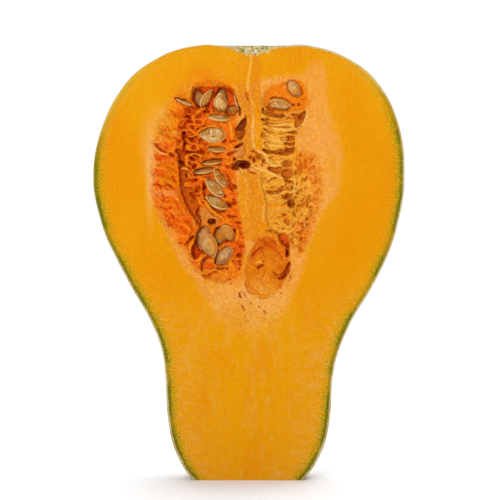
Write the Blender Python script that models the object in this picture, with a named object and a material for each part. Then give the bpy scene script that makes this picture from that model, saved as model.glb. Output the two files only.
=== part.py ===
# Half of a small pear-shaped winter squash, cut lengthwise and standing on its trimmed neck.
# Metres, +Z up. The cut face looks along -Y. The origin lies under the middle of the half's box.
import math
from collections import namedtuple

import bmesh
import bpy
import numpy as np
from mathutils import Euler, Matrix, Vector, noise
from mathutils.geometry import delaunay_2d_cdt

MM = 0.001

# The fruit's outer form. Each point of the meridian is a radius, a height and how far the fruit's
# middle stands to the right there, in mm.
MERIDIAN = (
    (19.5, 0, -0.2), (22.0, 3.2, -0.2), (24.5, 7.6, -0.1), (26.9, 14.2, 0), (28.3, 24, 0), (28.9, 36, 0.1),
    (30.4, 44.7, 0.5), (34.5, 55, 0.8), (40.6, 65.4, 1.0), (46.0, 75.7, 0.9), (50.2, 86, 0.4),
    (53.0, 97.5, 0.1), (53.5, 105, 0), (52.9, 114, 0.3), (50.4, 123.8, 0.7), (46.3, 132.6, 1.0),
    (39.4, 141, 1.2), (28.6, 147.4, 1.3), (17.5, 150, 1.3), (10.5, 149.6, 1.2), (6.5, 149.0, 1.0),
    (0, 148.7, 0.9),
)
MERIDIAN_ROWS = 42
COLUMNS = 32
BULB_FLATNESS = 0.86       # depth over half-width in the bulb; the neck is round
NECK_LEAN = 5.4            # mm that the neck's axis lies behind the cut at the foot
LEAN_ENDS = 60             # mm above the foot where the fruit's axis meets the cut
RIBS = 10                  # shallow ribs round the whole fruit
RIB_DEPTH = 0.014          # share of the radius
SCAR_RADIUS = 6.8          # mm, the dry blossom scar on top
SCAR_HEIGHT = 1.0
HALF_DEPTH = 45.4          # mm from the cut face to the back of the bulb
CUT_Y = -HALF_DEPTH / 2

# The seed cavity's rim on the cut face, as x and height in mm, anticlockwise.
CAVITY_RIM = (
    (-4, 134), (-13, 138.5), (-22.5, 135), (-29, 125), (-32, 113), (-32, 100), (-29, 88), (-22.5, 75.5),
    (-14.5, 67), (-4.5, 61), (2, 58), (9, 62), (15.5, 71.5), (19, 83), (25, 94), (26.5, 107), (22, 121),
    (19.5, 134), (12.5, 138.5), (5, 134.5),
)
COLUMN = ((-1.0, 2.4, 112, 160), (-2.8, 6.6, 84, 106))   # flesh left standing: low x, high x, low z, high z
RIM_SLOPE = 4.0            # mm over which the face sinks inside the rim
FACE_SINK = 0.9            # mm that the fibrous face lies below the cut
PULP_SPACING = 1.5         # mm between points on the pulp
FLESH_SPACING = 7.0        # mm between points on the plain cut

# Hollows in the pulp: middle, half sizes, turn in degrees, depth below the cut, all in mm.
Hollow = namedtuple("Hollow", "name x z along across turn depth edge")
HOLLOWS = (
    Hollow("upper left chamber", -12.6, 124, 9.6, 12.8, 0, 3.4, 0.5),
    Hollow("middle left chamber", -12.4, 107, 9.0, 12.0, 0, 3.6, 0.5),
    Hollow("lower left chamber", -9.5, 92, 6.5, 11.0, -25, 3.2, 0.5),
    Hollow("seed nest", -11.5, 80.5, 7.8, 7.6, 0, 3.8, 0.4),
    Hollow("left tufts", -27, 105, 5.0, 19.0, 0, 1.6, 0.6),
    Hollow("left slit, upper", -21.3, 105, 8.5, 2.0, -79, 8.5, 0.4),
    Hollow("left slit, lower", -16.3, 92.5, 8.6, 2.6, -60, 9.5, 0.4),
    Hollow("hole under the slit", -12.4, 89, 2.0, 1.7, 20, 13.0, 0.4),
    Hollow("gap by the column", -3.6, 121, 7.0, 1.9, 82, 6.5, 0.4),
    Hollow("torn middle", -1.6, 108.8, 5.5, 1.9, 8, 8.0, 0.4),
    Hollow("deep middle hole", 1.2, 108.6, 2.1, 1.7, 10, 15.0, 0.4),
    Hollow("upper right bay", 12, 131.2, 7.0, 4.8, 0, 2.4, 0.4),
    Hollow("right recess", 11.2, 122.4, 7.4, 4.6, 0, 6.0, 0.3),
    Hollow("right lower recess", 11.4, 114.4, 5.0, 4.4, 0, 6.5, 0.3),
    Hollow("right shaft", 15.4, 113.6, 6.4, 1.9, 88, 9.0, 0.3),
    Hollow("net hollow", 14.2, 101.5, 7.0, 3.4, 100, 5.0, 0.5),
    Hollow("dark net hole", 17.4, 95.4, 2.4, 2.2, 0, 9.0, 0.4),
    Hollow("right sponge", 20.8, 101.5, 4.6, 15.0, 0, 1.9, 0.6),
    Hollow("fold shadow", 13.3, 79.6, 4.2, 1.7, 112, 6.0, 0.4),
    Hollow("round fold", 6.4, 74.4, 7.2, 8.2, 0, 2.2, 0.3),
    Hollow("crescent", 12.4, 72.8, 3.6, 1.5, 65, 4.0, 0.4),
    Hollow("fold pit", 4.2, 75.0, 1.5, 1.3, 0, 5.0, 0.4),
    Hollow("nest cave", -17.2, 78.4, 4.0, 2.1, 115, 7.0, 0.4),
    Hollow("nest fold", -14.6, 75.6, 2.8, 1.5, 25, 5.5, 0.4),
    Hollow("vein pit", -1.6, 62.4, 2.2, 1.2, 105, 3.0, 0.4),
)

# Pulp strands that bridge the right recesses: ends in x and height, sag, depth below the cut, in mm.
Strand = namedtuple("Strand", "x0 z0 x1 z1 sag depth")
STRANDS = (
    Strand(3.6, 123.5, 17.4, 122.2, 1.0, 4.4),
    Strand(3.6, 120.2, 18.2, 120.6, 1.2, 2.6),
    Strand(3.8, 117.4, 17.6, 118.0, 1.4, 2.0),
    Strand(4.6, 113.6, 13.4, 113.8, 0.8, 1.8),
    Strand(4.0, 107.5, 18.4, 103.6, 0.4, 1.4),
    Strand(6.2, 99.6, 20.4, 99.4, 0.8, 1.6),
    Strand(7.0, 95.0, 16.6, 96.6, 0.8, 1.4),
)
STRAND_RADIUS = 1.0        # mm

# Seeds: middle, depth below the cut, the way the tip points, roll about the length, pitch of the tip, size.
SEED_LENGTH = 9.2
SEED_WIDTH = 5.9
SEED_THICKNESS = 2.2
SEED_GAP = 0.36            # mm of clear space between a seed and the pulp's pocket
NEST_MARGIN = 0.5          # mm that the pulp stands back round a seed
NEST_BED = 1.3             # mm below a seed's face where the pulp meets it
SEED_SEGMENTS = 12
SEED_RINGS = 6
Seed = namedtuple("Seed", "x z depth tip roll pitch size")
SEEDS = (
    Seed(-22.4, 130.6, 1.6, 158, 74, 0, 0.70),
    Seed(-14.7, 131.7, 1.9, 55, 52, 4, 0.76),
    Seed(-16.8, 131.6, 5.6, 110, 15, 0, 0.66),
    Seed(-9.8, 130.0, 2.5, 94, 4, -34, 0.86),
    Seed(-9.5, 132.0, 6.4, 84, 4, 0, 0.68),
    Seed(-5.6, 127.6, 5.8, 20, 20, 0, 0.58),
    Seed(-4.2, 130.4, 2.6, 108, 80, 0, 0.56),
    Seed(-10.1, 125.1, 1.8, 175, 66, 0, 0.86),
    Seed(-12.3, 119.2, 1.8, 181, 14, 0, 0.98),
    Seed(-10.9, 114.2, 2.2, 178, 66, 0, 0.70),
    Seed(-12.6, 109.7, 4.0, 186, 74, 0, 0.80),
    Seed(-15.2, 106.8, 4.0, 190, 72, 0, 0.84),
    Seed(-9.8, 104.3, 1.8, 125, 52, 0, 0.82),
    Seed(-11.7, 100.9, 1.6, 137, 40, 0, 0.88),
    Seed(-11.0, 95.9, 1.6, 153, 48, 0, 0.90),
    Seed(-15.7, 83.7, 4.8, 258, 10, 0, 0.88),
    Seed(-13.6, 81.2, 1.5, 291, 6, 0, 0.94),
    Seed(-10.3, 84.3, 5.0, 262, 20, 6, 0.70),
    Seed(-7.3, 85.2, 1.9, 297, 20, 30, 0.78),
    Seed(-8.4, 77.6, 3.0, 230, 12, 0, 0.84),
    Seed(15.4, 135.0, 1.5, 309, 14, 0, 0.70),
    Seed(10.5, 129.5, 1.7, -8, 42, 0, 0.86),
)

SKIN_COLOUR = (0.62, 0.40, 0.16, 1)
FLESH_COLOUR = (0.82, 0.31, 0.01, 1)
SEED_COLOUR = (0.60, 0.37, 0.16, 1)


def clear_scene():
    for obj in list(bpy.data.objects):
        bpy.data.objects.remove(obj, do_unlink=True)


def material(name, colour, roughness):
    made = bpy.data.materials.new(name)
    made.use_nodes = True
    shader = made.node_tree.nodes["Principled BSDF"]
    shader.inputs["Base Color"].default_value = colour
    shader.inputs["Roughness"].default_value = roughness
    shader.inputs["Metallic"].default_value = 0.0
    return made


def smooth_step(low, high, value):
    t = np.clip((np.asarray(value, float) - low) / (high - low), 0, 1)
    return t * t * (3 - 2 * t)


def smooth_path(points, spacing_at, closed=False):
    """Points along a smooth curve through the given ones, spacing_at(point) apart."""
    known = np.array(points, float)
    count = len(known)
    fine = []
    for i in range(count if closed else count - 1):
        if closed:
            a, b, c, d = (known[(i + k) % count] for k in (-1, 0, 1, 2))
        else:
            a, b, c, d = (known[min(max(i + k, 0), count - 1)] for k in (-1, 0, 1, 2))
        for t in np.linspace(0, 1, 40, endpoint=False):
            fine.append(
                0.5 * (2 * b + (c - a) * t + (2 * a - 5 * b + 4 * c - d) * t**2 + (3 * b - a - 3 * c + d) * t**3)
            )
    if not closed:
        fine.append(known[-1])
    chosen = [fine[0]]
    for point in fine[1:]:
        if np.linalg.norm(point - chosen[-1]) >= spacing_at(point):
            chosen.append(point)
    if not closed:
        chosen[-1] = known[-1]
    return np.array(chosen)


def meridian():
    """The fruit's radius, height and shift, row by row from the foot to the middle of the scar."""
    length = np.linalg.norm(np.diff(np.array(MERIDIAN, float), axis=0), axis=1).sum()
    body = length / MERIDIAN_ROWS
    return smooth_path(MERIDIAN, lambda p: 1.3 if p[0] < SCAR_RADIUS + 1 and p[1] > 100 else body)


def lean(height):
    """How far behind the cut the fruit's axis lies."""
    return NECK_LEAN * (1 - smooth_step(0, LEAN_ENDS, height))


def flatness(height):
    return 1 + (BULB_FLATNESS - 1) * smooth_step(25, 95, height)


def start_angle(radius, height):
    """The angle below the cross-section's wide line where the cut meets the skin."""
    if radius <= 0:
        return 0.0
    return math.asin(min(1.0, lean(height) / (radius * flatness(height))))


def scar_rise(x, y, radius):
    """The corky scar's lumps, which fade out at its edge."""
    lumps = noise.noise(Vector((x * 0.55 + 7, y * 0.55, 3))) + 0.5 * noise.noise(Vector((x * 1.3, y * 1.3, 9)))
    return SCAR_HEIGHT * (1 - float(smooth_step(SCAR_RADIUS * 0.7, SCAR_RADIUS, radius))) * (0.75 + 0.55 * lumps)


def skin_point(radius, height, shift, turn):
    """A point on the skin; turn runs from 0 at the right edge of the cut to 1 at the left edge."""
    first = start_angle(radius, height)
    angle = -first + (math.pi + 2 * first) * turn
    behind = max(0.0, math.sin(math.pi * turn))
    rib = 1 - RIB_DEPTH * (1 - math.cos(RIBS * angle)) / 2 * float(smooth_step(0, 40, radius))
    swell = 1 + 0.012 * behind * noise.noise(Vector((math.cos(angle) * 1.5, math.sin(angle) * 1.5, height / 35)))
    width = radius * (1 + (rib * swell - 1) * min(1.0, 3 * behind))
    x = width * math.cos(angle)
    y = lean(height) + width * flatness(height) * math.sin(angle)
    if turn in (0, 1):
        y = 0.0
    rise = scar_rise(x, y, radius) if radius < SCAR_RADIUS and height > 100 else 0.0
    return Vector((x + shift, CUT_Y + y, height + rise))


def rim_distance(points, outline):
    """Distance from each point to the closed outline, positive inside it."""
    starts = outline
    ends = np.roll(outline, -1, axis=0)
    along = ends - starts
    offset = points[:, None, :] - starts[None]
    share = np.clip((offset * along[None]).sum(2) / (along**2).sum(1)[None], 0, 1)
    away = np.linalg.norm(offset - share[..., None] * along[None], axis=2).min(1)
    x, z = points[:, 0][:, None], points[:, 1][:, None]
    crosses = (starts[:, 1][None] > z) != (ends[:, 1][None] > z)
    rise = np.where(along[:, 1] == 0, 1e-9, along[:, 1])[None]
    at = starts[:, 0][None] + (z - starts[:, 1][None]) * along[:, 0][None] / rise
    inside = (crosses & (x < at)).sum(1) % 2 == 1
    return np.where(inside, away, -away)


def hollow_depth(x, z, hollow):
    turn = math.radians(hollow.turn)
    u = ((x - hollow.x) * math.cos(turn) + (z - hollow.z) * math.sin(turn)) / hollow.along
    v = (-(x - hollow.x) * math.sin(turn) + (z - hollow.z) * math.cos(turn)) / hollow.across
    reach = np.hypot(u, v)
    return hollow.depth * (1 - smooth_step(1 - hollow.edge, 1 + hollow.edge, reach))


def seed_nest(seed):
    """The open nest that a seed lies half bedded in."""
    roll = math.radians(seed.roll)
    across = abs(SEED_WIDTH * math.cos(roll)) + abs(SEED_THICKNESS * math.sin(roll))
    along = SEED_LENGTH * seed.size / 2 + NEST_MARGIN
    return Hollow(
        "nest", seed.x, seed.z, along, across * seed.size / 2 + NEST_MARGIN, seed.tip, seed.depth + NEST_BED, 0.3
    )


def strand_cover(x, z, strand):
    """Depth of a strand's top where it passes, and a large depth elsewhere."""
    start, run = np.array([strand.x0, strand.z0]), np.array([strand.x1 - strand.x0, strand.z1 - strand.z0])
    share = np.clip(((x - start[0]) * run[0] + (z - start[1]) * run[1]) / (run @ run), 0, 1)
    line_x = start[0] + share * run[0]
    line_z = start[1] + share * run[1] - strand.sag * 4 * share * (1 - share)
    away = np.hypot(x - line_x, z - line_z)
    return np.where(away < STRAND_RADIUS, strand.depth + 0.8 * (away / STRAND_RADIUS) ** 2, 99.0)


def pulp_relief(x, z):
    """Ridged lumps of the fibrous pulp, stretched along the strands."""
    out = np.zeros(len(x))
    for i, (px, pz) in enumerate(zip(x, z)):
        broad = noise.noise(Vector((px * 0.16, pz * 0.26, 1.5)))
        ridged = 1 - 2 * abs(noise.noise(Vector((px * 0.24, pz * 0.42, 8.0))))
        out[i] = 0.5 * broad - 0.7 * ridged
    return out


def face_depth(points, rim):
    """How far the cut face lies below the cut at each point, in mm."""
    x, z = points[:, 0], points[:, 1]
    inside = rim_distance(points, rim)
    opened = smooth_step(0, RIM_SLOPE, inside)
    depth = FACE_SINK * opened
    for hollow in HOLLOWS:
        depth = np.maximum(depth, hollow_depth(x, z, hollow) * smooth_step(-2, 2, inside))
    pulp = smooth_step(1.4, 3.0, depth)
    depth = depth + pulp * pulp_relief(x, z)
    nests = np.zeros(len(x))
    for seed in SEEDS:
        nests = np.maximum(nests, hollow_depth(x, z, seed_nest(seed)))
    depth = np.maximum(depth, nests)
    for low_x, high_x, low_z, high_z in COLUMN:
        across = smooth_step(low_x - 1.2, low_x + 0.4, x) * (1 - smooth_step(high_x - 0.4, high_x + 1.2, x))
        upright = smooth_step(low_z - 1.5, low_z + 1.0, z) * (1 - smooth_step(high_z - 1.0, high_z + 1.5, z))
        depth = depth * (1 - 0.92 * across * upright)
    for strand in STRANDS:
        depth = np.minimum(depth, np.maximum(strand_cover(x, z, strand), 0))
    return np.maximum(depth, 0) * smooth_step(-0.5, 1.5, inside)


def lattice(low, high, spacing):
    """A staggered grid of points over a box."""
    rows = []
    step = spacing * math.sqrt(3) / 2
    for k, z in enumerate(np.arange(low[1], high[1], step)):
        shift = spacing / 2 if k % 2 else 0
        rows.append([(x + shift, z) for x in np.arange(low[0], high[0], spacing)])
    return np.array([p for row in rows for p in row])


def face_points(outline, rim):
    """Points inside the outline, close together on the pulp and far apart on the plain flesh."""
    low, high = outline.min(0), outline.max(0)
    fine = lattice(rim.min(0) - 2, rim.max(0) + 2, PULP_SPACING)
    fine = fine[rim_distance(fine, rim) > -1.0]
    coarse = lattice(low, high, FLESH_SPACING)
    coarse = coarse[rim_distance(coarse, rim) < -FLESH_SPACING * 0.55]
    coarse = coarse[rim_distance(coarse, outline) > FLESH_SPACING * 0.5]
    return np.vstack([fine, coarse])


def make_half():
    """The rind and flesh, grown as one piece: skin, trimmed foot and the cut face with its cavity."""
    rows = meridian()
    bm = bmesh.new()
    grid = []
    for radius, height, shift in rows[:-1]:
        grid.append([bm.verts.new(skin_point(radius, height, shift, j / COLUMNS)) for j in range(COLUMNS + 1)])
    pole = bm.verts.new(skin_point(0.0, rows[-1][1], rows[-1][2], 0))
    for lower, upper in zip(grid, grid[1:]):
        for j in range(COLUMNS):
            bm.faces.new((lower[j], lower[j + 1], upper[j + 1], upper[j]))
    for j in range(COLUMNS):
        bm.faces.new((grid[-1][j], grid[-1][j + 1], pole))
    bm.faces.new(list(reversed(grid[0])))

    edge = [row[0] for row in grid] + [pole] + [row[-1] for row in reversed(grid)]
    outline = np.array([(v.co.x, v.co.z) for v in edge])
    rim = smooth_path(CAVITY_RIM, lambda p: 1.5, closed=True)
    inner = face_points(outline, rim)
    flat = [Vector(p) for p in np.vstack([outline, inner])]
    loop = list(range(len(outline)))
    points, _, faces, came_from, _, _ = delaunay_2d_cdt(flat, [], [loop], 1, 1e-5)
    depth = face_depth(np.array([(p.x, p.y) for p in points]), rim)
    placed = []
    for i, point in enumerate(points):
        old = [k for k in came_from[i] if k < len(outline)]
        if old:
            placed.append(edge[old[0]])
        else:
            placed.append(bm.verts.new((point.x, CUT_Y + depth[i], point.y)))
    for corners in faces:
        bm.faces.new([placed[k] for k in corners])
    bmesh.ops.recalc_face_normals(bm, faces=bm.faces)
    bmesh.ops.scale(bm, vec=(MM, MM, MM), verts=bm.verts)
    mesh = bpy.data.meshes.new("squash_half")
    bm.to_mesh(mesh)
    bm.free()
    half = bpy.data.objects.new("squash_half", mesh)
    bpy.context.scene.collection.objects.link(half)
    return half


def shape_seed(bm, gap):
    """A flat teardrop with its tip along +X, its face along Z and a thin margin."""
    for vert in bm.verts:
        a, b, c = vert.co
        taper = 1 - 0.42 * max(0.0, a) ** 1.6
        length = SEED_LENGTH / 2 * (1.0 + 0.10 * max(0.0, a) ** 3)
        vert.co = Vector((a * (length + gap), b * (SEED_WIDTH / 2 * taper + gap), c * (SEED_THICKNESS / 2 + gap)))


def seed_matrix(seed):
    """Face towards the viewer, rolled and pitched, then turned until the tip points the stated way."""
    facing = Euler((math.radians(90), 0, 0)).to_matrix()
    roll = Matrix.Rotation(math.radians(seed.roll), 3, "X")
    pitch = Matrix.Rotation(math.radians(seed.pitch), 3, "Y")
    turn = Matrix.Rotation(math.radians(seed.tip), 3, "Z")
    spin = (facing @ turn @ pitch @ roll).to_4x4()
    place = Matrix.Translation(Vector((seed.x, CUT_Y + seed.depth + 1.1, seed.z)) * MM)
    return place @ spin @ Matrix.Diagonal((seed.size * MM, seed.size * MM, seed.size * MM, 1))


def make_seed(name, seed, gap=0.0):
    bm = bmesh.new()
    bmesh.ops.create_uvsphere(bm, u_segments=SEED_SEGMENTS, v_segments=SEED_RINGS, radius=1)
    shape_seed(bm, gap / seed.size)
    mesh = bpy.data.meshes.new(name)
    bmesh.ops.transform(bm, matrix=seed_matrix(seed), verts=bm.verts)
    bm.to_mesh(mesh)
    bm.free()
    obj = bpy.data.objects.new(name, mesh)
    bpy.context.scene.collection.objects.link(obj)
    return obj


def cut_pockets(half):
    """Hollows the pulp round every seed, then drops the scraps that the cut sets loose."""
    pockets = bpy.data.collections.new("seed_pockets")
    cutters = []
    for i, seed in enumerate(SEEDS, 1):
        cutter = make_seed(f"pocket_{i:02d}", seed, SEED_GAP)
        bpy.context.scene.collection.objects.unlink(cutter)
        pockets.objects.link(cutter)
        cutters.append(cutter)
    modifier = half.modifiers.new("pockets", "BOOLEAN")
    modifier.operation = "DIFFERENCE"
    modifier.operand_type = "COLLECTION"
    modifier.collection = pockets
    modifier.solver = "EXACT"
    bpy.context.view_layer.objects.active = half
    bpy.ops.object.modifier_apply(modifier=modifier.name)
    for cutter in cutters:
        bpy.data.objects.remove(cutter, do_unlink=True)
    bpy.data.collections.remove(pockets)
    drop_scraps(half)


def drop_scraps(half):
    """Keeps only the largest connected body."""
    bm = bmesh.new()
    bm.from_mesh(half.data)
    left, groups = set(bm.verts), []
    while left:
        todo = [left.pop()]
        group = set(todo)
        while todo:
            for edge in todo.pop().link_edges:
                for vert in edge.verts:
                    if vert in left:
                        left.discard(vert)
                        group.add(vert)
                        todo.append(vert)
        groups.append(group)
    groups.sort(key=len)
    scraps = [vert for group in groups[:-1] for vert in group]
    bmesh.ops.delete(bm, geom=scraps, context="VERTS")
    bm.to_mesh(half.data)
    bm.free()


def finish_half(half, skin, flesh):
    """Two finishes on one body: skin outside, flesh on the cut face, the cavity and the trimmed foot."""
    half.data.materials.append(skin)
    half.data.materials.append(flesh)
    for face in half.data.polygons:
        behind = face.center.y > (CUT_Y + 0.02) * MM
        within = abs(face.center.x) < 34 * MM and 58 * MM < face.center.z < 139 * MM and face.normal.y < 0
        foot = face.normal.z < -0.99
        face.material_index = 0 if behind and not within and not foot else 1
        face.use_smooth = face.material_index == 0
    half.data.set_sharp_from_angle(angle=math.radians(40))


def build():
    clear_scene()
    skin = material("rind", SKIN_COLOUR, 0.45)
    flesh = material("flesh", FLESH_COLOUR, 0.5)
    kernel = material("seed_coat", SEED_COLOUR, 0.3)
    half = make_half()
    cut_pockets(half)
    finish_half(half, skin, flesh)
    for i, seed in enumerate(SEEDS, 1):
        obj = make_seed(f"seed_{i:02d}", seed)
        obj.data.materials.append(kernel)
        obj.data.shade_smooth()


build()
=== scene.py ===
import math

import bpy
import numpy as np
from mathutils import Matrix, Vector, noise
from mathutils.geometry import delaunay_2d_cdt


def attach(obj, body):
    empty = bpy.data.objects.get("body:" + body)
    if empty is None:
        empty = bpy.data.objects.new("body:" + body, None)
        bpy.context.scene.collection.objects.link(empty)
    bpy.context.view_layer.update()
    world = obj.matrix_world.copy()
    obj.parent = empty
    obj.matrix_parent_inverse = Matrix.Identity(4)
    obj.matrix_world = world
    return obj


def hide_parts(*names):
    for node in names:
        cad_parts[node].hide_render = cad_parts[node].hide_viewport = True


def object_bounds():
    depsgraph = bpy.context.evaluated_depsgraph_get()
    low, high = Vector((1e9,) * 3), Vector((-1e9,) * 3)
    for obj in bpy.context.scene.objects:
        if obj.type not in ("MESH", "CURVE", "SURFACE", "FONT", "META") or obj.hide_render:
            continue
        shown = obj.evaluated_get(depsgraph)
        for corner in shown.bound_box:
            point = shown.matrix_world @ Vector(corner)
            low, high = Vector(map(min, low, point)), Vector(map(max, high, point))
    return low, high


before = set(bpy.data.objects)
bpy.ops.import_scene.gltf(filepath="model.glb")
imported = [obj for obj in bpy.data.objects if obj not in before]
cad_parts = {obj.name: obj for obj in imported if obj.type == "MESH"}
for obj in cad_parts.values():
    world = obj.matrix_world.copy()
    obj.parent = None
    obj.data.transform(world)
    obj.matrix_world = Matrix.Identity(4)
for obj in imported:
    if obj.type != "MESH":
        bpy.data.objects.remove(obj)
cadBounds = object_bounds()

# Half a small winter squash, standing on its trimmed neck, cut face to the viewer.
# Lengths in the dictionaries are millimetres. x runs right, z up, and depth into the fruit from the cut.
mm = 0.001
cutY = cadBounds[0][1] / mm  # the plane of the cut
lightOnCut = 1.45  # how much brighter than 1 the studio lights the cut


# Small tools

def smooth(low, high, value):
    t = np.clip((value - low) / (high - low), 0, 1)
    return t * t * (3 - 2 * t)


def hashed(i, j, seed):
    # a steady random number from 0 to 1 for each whole-number cell
    n = np.sin(i * 127.1 + j * 311.7 + seed * 74.7) * 43758.5453
    return n - np.floor(n)


def waves(x, y, size, seed):
    # gradient noise, about -1 to 1, with features about size wide
    u, v = x / size, y / size
    i, j = np.floor(u), np.floor(v)
    fu, fv = u - i, v - j
    su, sv = fu * fu * (3 - 2 * fu), fv * fv * (3 - 2 * fv)
    corner = []
    for di, dj in ((0, 0), (1, 0), (0, 1), (1, 1)):
        turn = hashed(i + di, j + dj, seed) * 2 * math.pi
        corner.append(np.cos(turn) * (fu - di) + np.sin(turn) * (fv - dj))
    low = corner[0] + su * (corner[1] - corner[0])
    high = corner[2] + su * (corner[3] - corner[2])
    return 1.6 * (low + sv * (high - low))


def layeredWaves(x, y, size, seed, layers=3):
    total, weight = 0, 1
    for k in range(layers):
        total = total + weight * waves(x, y, size / 2**k, seed + k)
        weight *= 0.5
    return total / 1.75


def blurred(field, size):
    # a box blur run twice, size in canvas cells
    for _ in range(2):
        for axis in (0, 1):
            padded = np.pad(field, [(size + 1, size) if a == axis else (0, 0) for a in (0, 1)], mode="edge")
            total = np.cumsum(padded, axis=axis)
            width = 2 * size + 1
            high = np.take(total, range(width, total.shape[axis]), axis=axis)
            low = np.take(total, range(0, total.shape[axis] - width), axis=axis)
            field = (high - low) / width
    return field


def smoothPath(points, step, closed=False):
    # evenly spaced points on a smooth curve through the given ones
    known = np.array(points, float)
    count = len(known)
    fine = []
    for i in range(count if closed else count - 1):
        if closed:
            a, b, c, d = (known[(i + k) % count] for k in (-1, 0, 1, 2))
        else:
            a, b, c, d = (known[min(max(i + k, 0), count - 1)] for k in (-1, 0, 1, 2))
        for t in np.linspace(0, 1, 60, endpoint=False):
            bend = (2 * a - 5 * b + 4 * c - d) * t**2 + (3 * b - a - 3 * c + d) * t**3
            fine.append(0.5 * (2 * b + (c - a) * t + bend))
    fine.append(known[0] if closed else known[-1])
    fine = np.array(fine)
    run = np.concatenate([[0], np.cumsum(np.linalg.norm(np.diff(fine, axis=0), axis=1))])
    places = np.linspace(0, run[-1], max(3, int(round(run[-1] / step)) + 1))
    if closed:
        places = places[:-1]
    return np.stack([np.interp(places, run, fine[:, k]) for k in range(known.shape[1])], 1)


def lineDistance(x, z, points, closed=False):
    # distance to a line of straight runs, and how far along it the nearest point lies, from 0 to 1
    line = np.array(points, float)
    starts = line if closed else line[:-1]
    ends = np.roll(line, -1, axis=0) if closed else line[1:]
    lengths = np.linalg.norm(ends - starts, axis=1)
    before = np.concatenate([[0], np.cumsum(lengths)])
    best = np.full(x.shape, 1e9)
    along = np.zeros(x.shape)
    for k, (a, b) in enumerate(zip(starts, ends)):
        run = b - a
        share = np.clip(((x - a[0]) * run[0] + (z - a[1]) * run[1]) / max(run @ run, 1e-12), 0, 1)
        away = np.hypot(x - a[0] - share * run[0], z - a[1] - share * run[1])
        closer = away < best
        along = np.where(closer, (before[k] + share * lengths[k]) / before[-1], along)
        best = np.where(closer, away, best)
    return best, along


def insideDistance(x, z, outline):
    # distance to a closed outline, positive inside it
    away, _ = lineDistance(x, z, outline, closed=True)
    inside = np.zeros(x.shape, bool)
    line = np.array(outline, float)
    for a, b in zip(line, np.roll(line, -1, axis=0)):
        crosses = (a[1] > z) != (b[1] > z)
        at = a[0] + (z - a[1]) * (b[0] - a[0]) / (b[1] - a[1] if b[1] != a[1] else 1e-9)
        inside ^= crosses & (x < at)
    return np.where(inside, away, -away)


def spot(x, z, middle, half, turn, edge):
    # 1 inside a turned ellipse, 0 outside, with a soft edge
    c, s = math.cos(math.radians(turn)), math.sin(math.radians(turn))
    u = ((x - middle[0]) * c + (z - middle[1]) * s) / half[0]
    v = (-(x - middle[0]) * s + (z - middle[1]) * c) / half[1]
    return 1 - smooth(1 - edge, 1 + edge, np.hypot(u, v))


def deselectAll():
    if bpy.context.object and bpy.context.object.mode != "OBJECT":
        bpy.ops.object.mode_set(mode="OBJECT")
    bpy.ops.object.select_all(action="DESELECT")


def putAttribute(mesh, name, values):
    layer = mesh.attributes.new(name, "FLOAT", "POINT")
    layer.data.foreach_set("value", np.asarray(values, np.float32).ravel())


def coordinates(mesh):
    flat = np.empty(len(mesh.vertices) * 3)
    mesh.vertices.foreach_get("co", flat)
    return flat.reshape(-1, 3)


def linear(red, green, blue):
    # screen colour (0 to 255) to what a shader takes, allowing for the light that falls on the cut
    shares = (np.asarray(c, float) / 255 for c in (red, green, blue))
    values = (np.where(s > 0.04, ((s + 0.055) / 1.055) ** 2.4, s / 12.92) / lightOnCut for s in shares)
    return tuple(v if v.ndim else float(v) for v in values) + (1,)


# Fruit: the outer form, as radius, height and shift to the right up the side, then the parts of its skin
fruit = {
    "side": (
        (19.5, 0, -0.2), (22.0, 3.2, -0.2), (24.5, 7.6, -0.1), (26.9, 14.2, 0), (28.3, 24, 0),
        (28.9, 36, 0.1), (30.4, 44.7, 0.5), (34.5, 55, 0.8), (40.6, 65.4, 1.0), (46.0, 75.7, 0.9),
        (50.2, 86, 0.4), (53.0, 97.5, 0.1), (53.5, 105, 0), (52.9, 114, 0.3), (50.4, 123.8, 0.7),
        (46.3, 132.6, 1.0), (39.4, 141, 1.2), (28.6, 147.4, 1.3), (17.5, 150, 1.3), (10.5, 149.6, 1.2),
        (6.5, 149.0, 1.0), (0, 148.7, 0.9),
    ),
    "rows": 150,
    "columns": 116,
    "bulbFlatness": 0.86,
    "flattens": (25, 95),   # heights between which the round neck becomes the flatter bulb
    "neckLean": 5.4,        # how far the neck's axis lies behind the cut at the foot
    "leanEnds": 60,
    "ribs": 10,
    "ribDepth": 0.022,
    "scarRadius": 6.8,      # the dry blossom scar on top
    "scarHeight": 1.0,
}


def leanAt(height):
    return fruit["neckLean"] * (1 - float(smooth(0, fruit["leanEnds"], height)))


def flatnessAt(height):
    return 1 + (fruit["bulbFlatness"] - 1) * float(smooth(*fruit["flattens"], height))


def scarRise(x, y, radius):
    lumps = noise.noise(Vector((x * 0.55 + 7, y * 0.55, 3)))
    lumps += 0.5 * noise.noise(Vector((x * 1.3, y * 1.3, 9)))
    crumbs = 0.35 * noise.noise(Vector((x * 2.6, y * 2.6, 4))) + 0.2 * noise.noise(Vector((x * 5, y * 5, 1)))
    fade = 1 - float(smooth(fruit["scarRadius"] * 0.7, fruit["scarRadius"], radius))
    return fruit["scarHeight"] * fade * (0.75 + 0.55 * lumps + crumbs)


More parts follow.
